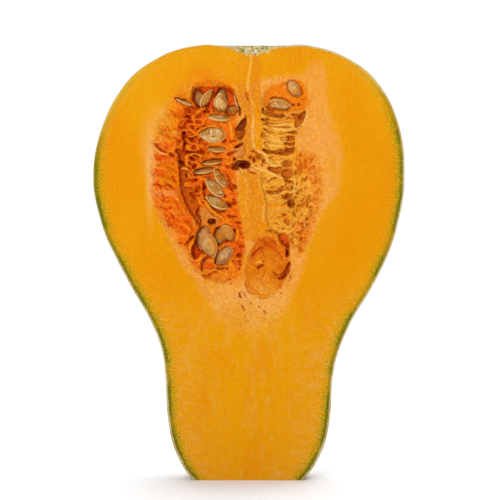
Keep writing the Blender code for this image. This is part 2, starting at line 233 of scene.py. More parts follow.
def skinPoint(radius, height, shift, turn):
    # turn runs from 0 at the right edge of the cut to 1 at the left edge
    first = math.asin(min(1.0, leanAt(height) / (radius * flatnessAt(height)))) if radius > 0 else 0.0
    angle = -first + (math.pi + 2 * first) * turn
    behind = max(0.0, math.sin(math.pi * turn))
    rib = 1 - fruit["ribDepth"] * (1 - math.cos(fruit["ribs"] * angle)) / 2 * float(smooth(0, 40, radius))
    place = Vector((math.cos(angle) * 1.5, math.sin(angle) * 1.5, height / 35))
    swell = 1 + 0.012 * behind * noise.noise(place)
    width = radius * (1 + (rib * swell - 1) * min(1.0, 3 * behind))
    x = width * math.cos(angle)
    y = 0.0 if turn in (0, 1) else leanAt(height) + width * flatnessAt(height) * math.sin(angle)
    rise = scarRise(x, y, radius) if radius < fruit["scarRadius"] and height > 100 else 0.0
    return x + shift, cutY + y, height + rise


def makeSkin():
    # a flat grid, wrapped into the skin; its top row closes to one point
    rows, columns = fruit["rows"], fruit["columns"]
    path = smoothPath(fruit["side"], 0.2)
    run = np.concatenate([[0], np.cumsum(np.linalg.norm(np.diff(path, axis=0), axis=1))])
    places = run[-1] * np.linspace(0, 1, rows + 1)
    side = np.stack([np.interp(places, run, path[:, k]) for k in (0, 1, 2)], 1)
    deselectAll()
    bpy.ops.mesh.primitive_grid_add(x_subdivisions=columns, y_subdivisions=rows, size=2, location=(0, 0, 0))
    skin = bpy.context.object
    skin.name = "squashBody"
    grid = coordinates(skin.data)
    placed = np.empty_like(grid)
    for k, (u, v, _) in enumerate(grid):
        row = int(round((v + 1) / 2 * rows))
        turn = round((u + 1) / 2 * columns) / columns
        radius = 0.0 if row == rows else side[row, 0]
        placed[k] = skinPoint(radius, *side[row, 1:], turn)
    skin.data.vertices.foreach_set("co", (placed * mm).ravel())
    skin.data.update()
    right = [skinPoint(*side[r], 0) for r in range(rows)]
    pole = [skinPoint(0.0, *side[rows, 1:], 0)]
    left = [skinPoint(*side[r], 1) for r in reversed(range(rows))]
    foot = [skinPoint(*side[0], c / columns) for c in range(columns + 1)]
    return skin, np.array(right + pole + left), np.array(foot)


# Cavity: the forms on the cut, given one by one and read left to right as the fruit shows them.
# Places are (x, z); a depth is how far below the cut a form lies.
dyes = {
    "flesh": (238, 152, 1),
    "peach": (244, 160, 66),
    "peachBright": (252, 178, 96),
    "peachPink": (250, 186, 122),
    "halo": (240, 132, 10),
    "pulp": (246, 112, 10),
    # the next colour is the pulp's deep red, and is also painted into its pits, folds and hollows as shade
    "deepPulpAndShade": (230, 80, 2),
    "tuft": (245, 92, 4),
    # the next colour is the tufts' red, and is also painted into their creases and low places as shade
    "redTuft": (226, 68, 2),
    # the next colour also paints highlights on ridges, raised hairs and raised threads
    "bright": (253, 142, 20),
    "gold": (246, 172, 50),
    "paleGold": (253, 194, 92),
    "column": (228, 132, 26),
    "columnRight": (242, 152, 8),
    "tongue": (234, 140, 24),
    "vein": (246, 182, 96),
    "disc": (226, 110, 8),
    # the next colour is the round fold's red, and also paints shade round the fold's edges and in the
    # sponge's pits
    "discRed": (208, 82, 4),
    "orange": (240, 118, 4),
    "crumb": (240, 132, 36),
    "recess": (253, 174, 54),
    "wall": (204, 90, 6),
    "tan": (222, 142, 56),
    # the next six colours are painted shade, put into hollows, holes, gaps and recesses
    "brown": (222, 112, 20),
    "red": (212, 66, 1),
    "holeShade": (180, 48, 1),
    "blackShade": (60, 8, 1),
    "umberShade": (186, 90, 14),
    "darkUmberShade": (108, 42, 2),
    "crust": (222, 210, 162),
    "crustGreen": (132, 132, 58),
    "crustDark": (110, 92, 52),
}

cavity = {
    "rim": (
        (-4, 134.5), (-13, 138.5), (-22.5, 135), (-29, 127), (-32.6, 116), (-33, 100), (-29.6, 87),
        (-22.5, 75), (-15, 66), (-6, 56), (2, 51.5), (9.5, 57), (15.5, 70), (19.5, 82), (24.5, 93),
        (26.5, 107), (23, 121), (20.5, 134), (13, 139), (4, 136),
    ),
    # broad areas: outline, width of its edge, depth, colour, strength
    "areas": {
        "peach": ((
            (-33.5, 97.3), (-34, 103.2), (-33.5, 107.4), (-34.5, 115.3), (-34, 122), (-31.1, 127.6),
            (-27.9, 131), (-23.6, 135), (-18.5, 137.8), (-10.6, 137.8), (-3, 136), (2, 138),
            (10.4, 139.4), (18.3, 140.3), (21, 144), (26, 143), (27, 132), (28.5, 124), (31.5, 116),
            (32.3, 110.9), (31, 100), (28.8, 97), (25.3, 92.2), (22.7, 85.6), (20.9, 81.3), (18.7, 72.5),
            (14.8, 63.7), (12.1, 59.3), (6, 56), (1.2, 50), (-7.8, 54.6), (-13.3, 60.6), (-16.9, 65.3),
            (-18.1, 68.8), (-23.2, 74), (-25.2, 78.7), (-27.9, 84.2), (-30.7, 90.2),
        ), 2.6, 0.35, "peach", 0.95),
        "tufts": ((
            (-32.8, 97), (-33.2, 104), (-32.8, 110), (-32.6, 116), (-31.5, 121), (-29, 126),
            (-26.5, 129.5), (-23, 132), (-19, 131.5), (-21.5, 126), (-23, 120), (-23.5, 113),
            (-23.6, 106), (-22, 98), (-19.5, 91), (-17.5, 84), (-18.5, 78), (-22.5, 80.5), (-26, 86),
            (-29.5, 91),
        ), 4.2, 0.6, "tuft", 0.85),
        "leftPulp": ((
            (-18.8, 134.9), (-15.5, 137), (-9, 137.2), (-5.4, 135.4), (-4.8, 130), (-4.4, 124),
            (-3.6, 118), (-4.4, 113), (-4.4, 109), (-4.6, 104), (-4.4, 100), (-3.6, 95), (-2.8, 90),
            (-2.2, 85), (-1.6, 80), (-2.4, 75), (-4.6, 71), (-8.5, 68.6), (-13, 69.4), (-17.2, 72),
            (-19.8, 76), (-20.6, 80.5), (-19.8, 85), (-17.6, 88.5), (-17.4, 94), (-20, 98.5),
            (-21.8, 104), (-22.6, 109), (-24, 113), (-24, 119), (-23.4, 123), (-21.5, 127), (-20, 130),
        ), 2.4, 2.2, "pulp", 0.95),
        "bay": ((
            (5.2, 129.4), (5.6, 133), (8, 135.6), (12, 137), (16, 138), (19, 136.4), (20.2, 132),
            (20, 128.6), (16, 127.4), (11, 126.6), (7, 127.2),
        ), 1.6, 1.5, "halo", 0.9),
        "recess": ((
            (4.8, 127.8), (7, 126.6), (11, 126), (14.8, 126.4), (17.8, 126.6), (19.6, 127.2),
            (19.2, 124.4), (17.8, 122.4), (16.4, 120.4), (16.2, 116), (15.6, 112), (14.8, 108.6),
            (11.5, 108.2), (7.4, 109.4), (5.2, 112), (4.6, 115.6), (4.5, 121),
        ), 1.6, 1.9, "recess", 0.95),
        "rightSponge": ((
            (16.4, 112), (19, 113.4), (22, 112.4), (24.6, 108), (25, 101), (24, 95), (21.8, 88),
            (19.6, 81), (17.4, 78), (16.4, 82), (17, 90), (16.6, 100), (15.8, 106),
        ), 3, 0.9, "orange", 0.6),
        "goldNet": ((
            (4.4, 106.6), (10, 107.6), (17, 107.4), (20.6, 104), (22.2, 98), (21.8, 92), (20, 87),
            (17.6, 82), (14.4, 81), (12, 85), (8.4, 85.2), (6.4, 88), (5.6, 95), (4.6, 101),
        ), 1.6, 1.5, "gold", 0.85),
        "tongue": ((
            (-3.2, 104.6), (-2.4, 106.6), (-0.6, 106.8), (1.2, 105.8), (3.4, 106), (4.2, 103), (5, 99.5),
            (6.2, 95), (6.2, 90), (8, 86.4), (9.5, 83.6), (4, 82.4), (-0.8, 83.4), (-2.2, 88), (-3, 94),
            (-3.2, 100),
        ), 1.1, 0.5, "tongue", 1),
        "column": ((
            (-3.3, 146), (3.3, 146), (3.8, 137), (4.3, 130), (4.7, 122), (4.6, 115), (4.2, 110.8),
            (1.4, 109.4), (-2.4, 110.4), (-3.6, 114), (-3, 119.6), (-1.4, 123.6), (-2.4, 128),
            (-4, 132.6), (-3.8, 140),
        ), 1, 0.15, "column", 0.85),
        "crust": ((
            (-5.2, 151), (-5, 148.9), (-3.4, 148.2), (-1, 147.7), (0.1, 146.8), (0.8, 145.6),
            (1.5, 146.8), (2.8, 147.7), (5, 148.3), (7.2, 148.8), (7.6, 151),
        ), 0.6, 0.2, "crust", 0.9),
        "disc": ((
            (-1.2, 69.4), (0.5, 66), (3.4, 63.6), (7.4, 63.4), (10, 65.8), (12.4, 69), (13.9, 72.8),
            (13.8, 77.4), (12.2, 80.6), (9.2, 83.2), (5, 83.6), (1.2, 80.4), (-0.6, 75.6),
        ), 1.4, 1.1, "disc", 0.9),
    },
    # soft patches of colour: middle, half sizes, turn, softness, colour, strength
    "patches": (
        ((26.5, 112), (6, 27), -3, 0.7, "peachBright", 0.2),
        ((0, 59), (12.5, 8), 0, 0.6, "peachBright", 0.9),
        ((-33.6, 119), (4.6, 9.5), -8, 0.8, "peach", 0.85),
        ((-34, 108), (1.4, 17), 0, 0.8, "peachPink", 0.7),
        ((-30.2, 125.5), (1.8, 4.5), 24, 0.7, "peachPink", 0.4),
        ((-28.6, 99.3), (4.2, 1.1), 0, 0.5, "peachPink", 0.55),
        ((-13.5, 138.2), (10.5, 3.6), 0, 0.8, "halo", 0.8),
        # the next two patches are painted shade round seed_01
        ((-22, 132.2), (5.2, 2.6), -20, 0.7, "halo", 0.8),
        ((-21.6, 130.6), (5, 2.2), -24, 0.6, "redTuft", 0.6),
        ((-23.4, 125.4), (2.8, 2), -20, 0.6, "redTuft", 0.8),
        ((-28.5, 110.9), (3.4, 1.5), -20, 0.5, "redTuft", 0.85),
        ((-26.6, 106.4), (2, 0.9), -30, 0.6, "redTuft", 0.5),
        # the next three patches are painted shade in the folds of the tufts
        ((-28, 96), (2, 1.1), 0, 0.6, "deepPulpAndShade", 0.7),
        ((-25.4, 94.3), (1.5, 0.6), 0, 0.6, "deepPulpAndShade", 0.6),
        ((-23.4, 92.4), (2.4, 0.8), 25, 0.6, "deepPulpAndShade", 0.7),
        ((-25.2, 119.7), (1.7, 1), 0, 0.7, "paleGold", 0.5),
        ((-29.4, 119), (2.2, 3), 0, 0.7, "redTuft", 0.35),
        ((-25.8, 114.8), (2.2, 1.3), 10, 0.6, "bright", 0.4),
        ((-21.4, 86.4), (2.2, 4.2), -20, 0.6, "redTuft", 0.3),
        # the next patch is painted shade in a deep fold
        ((-23, 82.8), (2.2, 1.2), -30, 0.7, "deepPulpAndShade", 0.6),
        ((-15, 140.5), (11, 2.8), 14, 0.8, "halo", 0.55),
        ((3.3, 120), (1.3, 9), 0, 0.5, "columnRight", 0.9),
        ((2.6, 130), (1.2, 6), 0, 0.5, "columnRight", 0.5),
        ((0, 141), (3.4, 4), 0, 0.7, "halo", 0.5),
        # the red patches here paint shade round the round fold: on its top arc, its left side and in dark
        # spots within it
        ((6.5, 82.3), (4.2, 2), -6, 0.6, "discRed", 0.85),
        ((1.4, 77.6), (1.2, 3.4), -24, 0.7, "discRed", 0.5),
        ((1.5, 71.2), (1.6, 0.8), 0, 0.6, "discRed", 0.6),
        ((1.6, 72.8), (1, 0.8), 0, 0.6, "discRed", 0.4),
        ((8.6, 69.8), (1.8, 0.9), 0, 0.7, "discRed", 0.4),
        ((7, 75.5), (4.2, 2.6), -10, 0.7, "tongue", 0.6),
        ((10.6, 73.4), (1.4, 1), 40, 0.6, "discRed", 0.5),
        ((4.6, 70), (2.8, 1.2), 0, 0.8, "peach", 0.6),
        ((5.2, 65.6), (3, 2.2), 0, 0.8, "peach", 0.5),
        ((-5, 80), (2.4, 3.4), 0, 0.7, "deepPulpAndShade", 0.6),
        ((-4.6, 72.4), (2.6, 2.2), 0, 0.8, "tuft", 0.6),
        ((-10, 71.4), (7, 2.6), 8, 0.7, "halo", 0.75),
        ((-4.2, 79), (2.4, 9), 0, 0.7, "tuft", 0.7),
        ((-18.6, 96), (1.4, 4), 24, 0.6, "wall", 0.7),
        ((18, 91.5), (3.4, 2.4), 0, 0.8, "recess", 0.35),
        ((18.4, 86.6), (2.2, 3.2), 0, 0.8, "tuft", 0.35),
        ((1.6, 95), (1.8, 9), 0, 0.7, "column", 0.4),
        ((-1.6, 97), (1, 8), 0, 0.7, "columnRight", 0.5),
        ((-1.6, 63.5), (1.5, 1.9), -10, 0.5, "peachPink", 0.7),
    ),
    # sunken places: outline, width of its edge, depth, colour; the dark colours are painted shade in the
    # holes, gaps and recesses
    "pockets": {
        "slitTop": ((
            (-25.2, 114.2), (-23.4, 114.2), (-21.4, 113.4), (-21.6, 112.3), (-23.2, 112.4), (-25, 113),
        ), 0.7, 3.6, "holeShade"),
        "slitWall": ((
            (-24.4, 112.8), (-22.8, 112.6), (-22.2, 110), (-21.4, 107.6), (-20.4, 104), (-19.6, 100.4),
            (-18.2, 97), (-16.8, 93.6), (-16.4, 90), (-17.4, 88), (-18.6, 90.2), (-20.4, 92.8),
            (-22.2, 96), (-23.4, 99.4), (-24, 103.6), (-24.2, 108.4),
        ), 0.8, 4.2, "wall"),
        "slitHole": (((-23.9, 110.4), (-23.1, 110), (-22.4, 108.9), (-23.1, 109)), 0.5, 7, "darkUmberShade"),
        "innerHole": ((
            (-21.8, 106), (-21.2, 105.7), (-20.7, 104.6), (-21.3, 104.8),
        ), 0.5, 7, "darkUmberShade"),
        "plate": ((
            (-16.8, 94), (-13.4, 93.8), (-10.4, 91.6), (-9.6, 89.6), (-10.6, 88), (-13.4, 87.8),
            (-16.8, 88.2),
        ), 1.2, 3.4, "tan"),
        "columnGap": ((
            (-1.1, 124.8), (-2.3, 124.2), (-3.7, 122.6), (-4.5, 121.3), (-4.4, 118.7), (-2.8, 117.4),
            (-1.5, 119.6), (-1.4, 121.5), (-1, 122.9),
        ), 0.7, 3.2, "darkUmberShade"),
        "columnShelf": ((
            (-4.3, 120.4), (-2.9, 120.6), (-1.6, 120.8), (-1.7, 119.4), (-2.8, 117.8), (-4.1, 118.4),
        ), 0.7, 1.9, "umberShade"),
        "columnFold": ((
            (-1.8, 116.4), (-3.8, 116.2), (-5.2, 114.6), (-5.6, 112.6), (-4.4, 111.2), (-2.2, 111.6),
            (-1.2, 113.4),
        ), 1, 1.7, "tan"),
        "tornGap": ((
            (-6, 107.8), (-5, 109.2), (-3.4, 110.2), (-1.5, 110.3), (0.2, 109.6), (0.3, 108.4),
            (-0.6, 107.9), (-2, 107.7), (-3.2, 107.5), (-4.6, 107.2),
        ), 0.8, 4, "darkUmberShade"),
        "tornCore": ((
            (-3.4, 108.7), (-1.8, 109.4), (-0.2, 109), (-0.5, 108.2), (-2.2, 108),
        ), 0.5, 5.6, "blackShade"),
        "slitPit": ((
            (-14.2, 89.3), (-12.8, 90.2), (-11.6, 89.6), (-11.8, 88.6), (-13.3, 88.4),
        ), 0.5, 5.4, "blackShade"),
        "nestCave": ((
            (-18.4, 83.4), (-17.4, 81.4), (-15.9, 79.7), (-15.4, 78.6), (-16.4, 77.8), (-17.2, 76.6),
            (-18.4, 76.2), (-19.4, 77.4), (-19.8, 79.4), (-19.2, 81.6),
        ), 0.8, 5.6, "deepPulpAndShade"),
        "sideRecess": ((
            (14.8, 126.4), (17.8, 126.3), (19.6, 127.4), (19.6, 126.2), (18.8, 124.3), (17.6, 122.4),
            (16.8, 121.8), (16.1, 122), (15.9, 124), (15.4, 125.6),
        ), 0.9, 4, "brown"),
        "shaft": ((
            (12.7, 118.4), (15.8, 118.3), (15.9, 115), (15.5, 113.2), (13, 113.2), (12.6, 115),
        ), 0.9, 4.2, "brown"),
        "underPad": ((
            (4.8, 114.4), (6.6, 113.9), (8.6, 113.6), (10.4, 114.2), (12.4, 114.2), (15.2, 114.9),
            (14.4, 112.6), (11.6, 112.3), (7.8, 112.8), (5.6, 112.9),
        ), 0.7, 3.6, "umberShade"),
        "lowRecess": ((
            (7.2, 108.2), (9, 108), (11.3, 108), (11.4, 106.8), (9.8, 105.9), (7.6, 106.2), (6.4, 107.2),
        ), 0.7, 3.4, "brown"),
        "besideNet": ((
            (11.3, 106.6), (13, 107), (14.6, 106.4), (14.5, 104.9), (13.2, 104.1), (11.8, 104.8),
        ), 0.7, 4, "brown"),
        "netEye": ((
            (14.2, 103.7), (15.2, 102.8), (15.3, 101.2), (14.6, 100.2), (13.2, 100.9), (12.5, 101.9),
            (13.3, 102.8),
        ), 0.7, 3, "recess"),
        "foldShadow": ((
            (10.2, 84.9), (12.4, 85), (13.5, 84), (13.9, 82.4), (13.9, 80.4), (13.8, 77.8), (13.2, 77.2),
            (12.8, 79), (12.6, 80.6), (11.4, 81.6), (10.6, 82.9),
        ), 1.1, 3, "deepPulpAndShade"),
        "seedWell": ((
            (-18.8, 134.8), (-15, 135.4), (-9, 135.6), (-5.6, 134.6), (-5.2, 131), (-7, 128.4),
            (-12, 128.4), (-16.6, 128.6), (-19, 131),
        ), 1.4, 4, "deepPulpAndShade"),
    },
    # small dents by place: x, z, half length, half width, turn, depth
    "dents": {
        "besideUpperSeeds": (
            (-17.4, 128.8, 1.3, 0.5, -65, 4), (-14.4, 129.5, 1.6, 0.6, 75, 4.5),
            (-12.2, 133.3, 1.2, 0.4, 70, 4), (-14.6, 127.3, 1, 0.7, 0, 2.5),
            (-11.9, 127.2, 0.5, 0.35, 0, 3), (-12.2, 128.9, 1.3, 0.3, 100, 3.5),
            (-4.8, 132.6, 0.5, 0.4, 0, 3), (-20.6, 127.8, 1.5, 0.7, 0, 1.5),
            (-19.4, 126.7, 1, 0.5, 0, 2),
        ),
        "upperSponge": (
            (-20.6, 125.2, 1, 0.45, -50, 3), (-17.1, 125.6, 0.7, 0.6, 0, 2.5),
            (-20.4, 123.6, 1.1, 0.4, 0, 2.8), (-17.3, 123.6, 1, 0.5, 0, 2.5),
            (-22.6, 121.7, 1.2, 0.5, 0, 3.5), (-19, 121.5, 0.5, 0.4, 0, 3),
            (-17.4, 121, 0.8, 0.45, 15, 3), (-20.4, 120, 0.6, 0.4, -35, 3),
            (-22.3, 119, 0.6, 1.3, 0, 3.5), (-23.9, 117.3, 1, 0.35, 0, 1.5),
            (-19.7, 117.4, 0.8, 0.5, -25, 3), (-18.9, 114.8, 0.7, 0.6, -20, 3),
            (-22, 116.2, 0.6, 0.5, 0, 3), (-22.2, 115, 0.45, 1.2, 0, 3),
            (-16.6, 113.2, 1.5, 0.5, -5, 2.8), (-13.9, 112.8, 0.5, 0.35, 0, 3),
            (-20.6, 113.4, 1.2, 0.4, -10, 2.2), (-19.6, 111, 1.1, 0.5, -30, 2.8),
            (-10.8, 110.9, 2.4, 0.35, 0, 3.5), (-10.8, 112.8, 1.3, 0.3, 0, 3),
            (-4, 115.2, 0.8, 0.45, 25, 5), (-8.4, 117, 0.9, 0.5, 30, 3),
            (-15.4, 122.2, 1.1, 0.35, 10, 2.2), (-14.8, 116, 0.9, 0.4, -10, 2.4),
            (-6.4, 122.4, 0.5, 0.3, 0, 2), (-16.8, 117.6, 0.6, 0.4, 0, 2.2),
            (-17.6, 111.8, 0.7, 0.4, 0, 2.4),
        ),
        "middleSponge": (
            (-9.8, 108.8, 0.5, 0.4, 0, 3), (-19.2, 110.8, 0.6, 0.4, 0, 2.8),
            (-20.4, 109.6, 0.4, 0.5, 0, 2.8), (-18.8, 108.2, 0.5, 0.5, 0, 3),
            (-19.2, 107.6, 0.5, 0.3, 0, 2), (-15.2, 101.4, 0.7, 1.3, 0, 3),
            (-17.6, 100.4, 0.8, 0.9, 0, 2.5), (-15.4, 98.8, 0.5, 0.7, 0, 2.5),
            (-8.2, 98.2, 0.3, 0.6, 0, 2), (-6.6, 91.2, 0.8, 0.4, 0, 3), (-13.9, 104.8, 1.3, 0.4, 0, 3.5),
            (-16.4, 105.6, 0.6, 0.35, 0, 3), (-5, 110.8, 0.8, 0.5, 0, 2.6), (-7, 108.2, 0.7, 0.5, 0, 2),
            (-18.2, 103.6, 0.5, 0.4, 0, 2.2), (-5.2, 96.9, 0.6, 0.3, 0, 2),
            (-18.6, 105.2, 0.6, 0.35, 20, 2), (-7.4, 101.8, 0.4, 0.7, 20, 2),
            (-12, 98.4, 1.2, 0.3, -30, 2.4), (-7.2, 94.4, 0.8, 0.35, 30, 3),
            (-5.2, 95.6, 0.9, 0.45, 20, 3.4),
        ),
        "nest": (
            (-8, 82.4, 0.6, 0.4, 0, 4), (-4.8, 86.4, 0.4, 0.6, 0, 2.4), (-3.4, 88.8, 0.8, 0.4, 0, 2),
            (-1.9, 83.8, 0.6, 0.25, 0, 1.4), (-2.6, 80.7, 0.8, 0.3, 0, 1.8),
            (-3.2, 77.8, 0.7, 0.6, 0, 3.2), (-3.3, 75.6, 0.6, 0.4, 0, 2.6), (-5.3, 75.9, 0.5, 0.3, 0, 2),
            (-5.6, 71.6, 0.3, 0.5, 0, 1.6), (-5, 79.8, 0.5, 0.4, 0, 2), (-3, 74.4, 0.3, 0.5, 0, 1.6),
            (-3.4, 73, 0.3, 0.4, 0, 1.2), (-11.7, 71.8, 0.9, 0.35, 20, 1.6),
            (-6.6, 69.4, 0.7, 0.3, 0, 1.2), (-10.2, 87.2, 1, 0.4, 10, 3), (-5, 91, 0.8, 0.3, 10, 2),
            (-7.4, 73.2, 0.5, 0.35, 0, 2), (-16.7, 79.7, 0.6, 0.6, 0, 2.5),
        ),
        "rightSide": (
            (17.3, 129.6, 0.5, 0.4, 0, 2), (15.4, 129.4, 0.4, 0.4, 0, 2), (14.5, 120.1, 1.9, 0.4, 0, 3),
            (14, 113.9, 1.1, 0.5, 0, 4), (14.8, 114.8, 0.4, 0.4, 0, 2), (-1, 108.4, 1, 0.6, 0, 4),
            (10.4, 123.6, 1.2, 0.5, 0, 2), (6.4, 124.2, 0.6, 0.9, 0, 2.4),
            (17.9, 125.2, 0.8, 0.6, 0, 2.5), (13.2, 109.4, 1.4, 0.9, 0, 2), (11, 112.7, 0.6, 0.35, 0, 2),
            (8, 120.2, 1.4, 0.4, 0, 2.6), (11.2, 120, 1.1, 0.4, 0, 2.4), (14.4, 103.1, 0.6, 0.4, 0, 3),
            (14.9, 101, 0.4, 0.5, 0, 1.6), (13.2, 97.9, 0.9, 0.7, 20, 2.6),
            (14.5, 98.4, 0.5, 0.35, 0, 2.2), (13.6, 96.3, 0.9, 0.35, 25, 2.4),
            (14.7, 95.8, 1.1, 0.8, 0, 5), (14.6, 94.8, 0.9, 0.6, 0, 3), (5.4, 104.1, 0.6, 0.28, 0, 1.8),
            (12.2, 104.2, 0.5, 0.35, 0, 2.4), (13, 103.5, 0.5, 0.3, 20, 1.6), (8, 100.6, 0.6, 0.5, 0, 1),
            (11, 101, 1, 0.5, 0, 1), (12.3, 91.5, 0.4, 0.35, 0, 1.6), (7.2, 86.2, 1, 0.3, 0, 1.4),
            (15.6, 84.4, 0.5, 0.4, 0, 1.4), (11.6, 82.2, 0.4, 0.4, 0, 2.5), (13.3, 81, 0.6, 0.5, -40, 3),
            (13.3, 78.2, 0.4, 0.8, 0, 2.5), (1.4, 113.6, 0.8, 0.3, 0, 2.4),
            (2.8, 113, 0.9, 0.35, -35, 2.4), (3.6, 111.6, 1, 0.6, 0, 2.4), (5.2, 110.2, 0.6, 0.7, 0, 3),
            (1.8, 110.6, 0.4, 0.8, 0, 2.4), (0.6, 111.4, 0.5, 0.5, 0, 2),
            (2.4, 108.4, 0.4, 0.35, 0, 1.6), (4.6, 108.8, 0.4, 0.35, 0, 1.6),
        ),
        "disc": (
            (4.2, 74, 0.9, 0.4, 15, 3.2), (3.4, 73.5, 0.4, 0.4, 60, 2), (5.2, 75.7, 0.3, 0.25, 0, 1),
            (4.3, 69.7, 0.3, 0.4, 0, 0.9), (5.1, 70.7, 0.3, 0.25, 0, 0.8), (3, 69.7, 0.3, 0.25, 0, 0.8),
            (14.4, 70.2, 0.35, 0.5, 0, 1.1), (13.7, 69, 0.35, 0.3, 0, 0.7),
            (10.9, 67.2, 0.5, 0.6, 0, 0.6), (11.2, 64.6, 0.3, 0.25, 0, 0.6),
            (7.8, 86, 0.8, 0.3, -30, 1.2),
        ),
    },
    # narrow grooves: points, half width, depth
    "grooves": (
        (((-7.5, 112.3), (-4.5, 113.4)), 0.4, 3),
        (((-4.8, 114.9), (-3.6, 115.3), (-1.9, 116.2)), 0.45, 3),
        (((-1, 126), (-1.1, 124.2)), 0.35, 2),
        (((-7, 117.2), (-6.3, 116.9), (-5.2, 117), (-4.4, 117.4)), 0.35, 1.5),
        (((-1.3, 133.9), (-0.6, 132.6), (-0.2, 131)), 0.3, 1.2),
        (((-2.9, 128.5), (-3, 127), (-3.1, 125.5)), 0.45, 2.5),
        (((-7.5, 135), (-6, 133.6), (-5.2, 132.8)), 0.45, 1.5),
        (((-32.2, 116.2), (-31, 114.8), (-29.4, 113.6), (-28.4, 113.2)), 0.45, 1.5),
        (((-27.2, 112.9), (-26.4, 112.2), (-25.6, 112)), 0.6, 2.2),
        (((-20.2, 99.2), (-18.4, 97.2)), 0.5, 3),
        (((-17.2, 94), (-18, 92.2), (-17.2, 91), (-16.6, 89.6)), 0.4, 3),
        (((-16.6, 89.6), (-16.8, 87.8), (-17.4, 86.6)), 0.4, 2.6),
        (((-12.3, 89.9), (-11.6, 88.8)), 0.7, 4),
        (((-13, 92.4), (-11.8, 91.6)), 0.35, 3),
        (((-15.2, 98), (-14.8, 96.4), (-13.2, 94.6), (-11.4, 93.2), (-9.6, 92.6), (-8, 93)), 0.45, 2.4),
        (((-11, 107.4), (-9.8, 106.6)), 0.4, 2.4),
        (((-7.4, 105.6), (-7, 104.4), (-6.6, 102.8), (-6.2, 100.4)), 0.4, 2.6),
        (((-7.6, 96), (-6, 94.2)), 0.6, 3),
        (((-6, 102.6), (-5, 101.6), (-4.1, 100.8)), 0.55, 2.6),
        (((-6, 101), (-5.4, 99.8)), 0.4, 2),
        (((-15, 108.8), (-12.6, 109), (-10.2, 108.5)), 0.3, 2.4),
        ((
            (-32.8, 102.3), (-31.4, 102), (-29.6, 101.6), (-28, 102), (-27.2, 101.8), (-26, 101),
            (-24.8, 100.2),
        ), 0.35, 1.3),
        (((-29.2, 101.2), (-27.8, 100.2)), 0.3, 1),
        (((-28, 88.6), (-26.4, 88)), 0.35, 0.8),
        (((-29, 92.4), (-28, 91.4)), 0.35, 0.8),
        (((-28.3, 122.4), (-27.4, 121), (-26.8, 120.2)), 0.3, 0.8),
        (((-29.8, 105.8), (-28.2, 105), (-27, 103.6)), 0.3, 0.8),
        (((-28, 107.6), (-26.4, 106)), 0.3, 0.8),
        (((-26.4, 105), (-25.4, 103.4)), 0.3, 0.9),
        (((-24.4, 82.6), (-23.6, 81.9), (-22.4, 81.8), (-22, 81.2)), 0.3, 1),
        (((-18.8, 84.5), (-21.6, 81.8)), 0.5, 1.6),
        (((-15.8, 70.8), (-14.4, 70.4), (-12.8, 71.6)), 0.5, 1.5),
        (((-5, 86.4), (-5.2, 85), (-6, 83.6), (-7.4, 82.8), (-8.2, 82.4)), 0.4, 3),
        (((-10.5, 80.6), (-10.4, 78.8), (-11.2, 76.8), (-11.7, 74.8)), 0.45, 3),
        (((-11.4, 73.4), (-9.8, 73), (-8.2, 73.6)), 0.4, 2),
        (((-12.8, 77), (-14.2, 77), (-15.2, 76.2), (-16, 75), (-16, 74), (-16.1, 72.8)), 0.6, 3.4),
        (((-5.8, 68.2), (-6.6, 67.6)), 0.3, 1),
        (((-3.3, 64.8), (-3.1, 63.9), (-2.6, 63.1)), 0.42, 2),
        (((-3.2, 64.9), (-2.2, 65.1), (-1.2, 64.1), (-0.8, 63)), 0.25, 0.8),
        (((-2.2, 60.6), (-2, 59.6), (-1.4, 58.8)), 0.32, 1.1),
        (((0.6, 61.6), (0.8, 60.8)), 0.28, 1),
        (((3, 60.1), (4, 59.9)), 0.28, 0.9),
        (((5.2, 58.8), (5.8, 57.8)), 0.3, 1),
        (((0.9, 58.2), (1.2, 57.8)), 0.22, 0.6),
        (((5.2, 56.2), (5.6, 55.4)), 0.22, 0.6),
        (((-0.4, 55.6), (0, 54.8)), 0.26, 0.7),
        (((-1.6, 56.4), (-0.8, 57)), 0.22, 0.6),
        (((-4, 61.4), (-3.4, 60.7)), 0.24, 0.6),
        (((14.2, 137.9), (16, 137.2), (17.6, 135.4), (18.3, 133.8), (18.2, 132.8)), 0.45, 1.6),
        (((7.2, 131.4), (8.4, 132), (10, 131.7), (12.4, 131.5), (14, 130.4), (15.4, 129.4)), 0.35, 2),
        (((6.2, 128.8), (7.4, 127.9), (8.8, 127.3)), 0.5, 2.6),
        (((4.7, 128.2), (5.4, 127), (7.2, 126.4), (9, 126), (10.8, 125.6), (12.4, 125.6)), 0.7, 2.6),
        (((11.2, 126.6), (12, 126)), 0.4, 1.6),
        (((13, 125), (15, 124.9)), 0.4, 2.4),
        (((17.6, 131), (19.8, 132)), 0.3, 0.8),
        (((8, 122.2), (12, 121.8), (14.2, 121.9)), 0.3, 2.2),
        (((6.2, 103.2), (7, 103.2), (8.2, 104.1), (9.8, 104.4)), 0.32, 1.6),
        (((6.2, 99.7), (7.2, 99.4), (8.4, 99.5), (9, 99.7)), 0.45, 2),
        (((9.4, 99.7), (10.2, 99.2), (10.8, 99.7), (11.8, 100)), 0.5, 2.4),
        (((15.4, 93), (15.6, 92.2), (15.8, 91.2)), 0.4, 1.8),
        (((12, 89.7), (12.5, 89.2), (13, 88.7)), 0.35, 1.8),
        (((19.6, 95.2), (20.8, 94.4), (21.6, 93.4), (21.4, 92.6)), 0.35, 1),
        (((20.2, 91.4), (19.9, 90)), 0.3, 0.8),
        (((18.9, 88.8), (18.5, 87.2)), 0.35, 1),
        (((17.8, 84.8), (18.2, 83.2)), 0.45, 1),
        (((15.4, 82.6), (14.8, 81.4)), 0.35, 1.2),
        (((8.6, 86.3), (10, 85.3), (10.8, 84.4)), 0.3, 1),
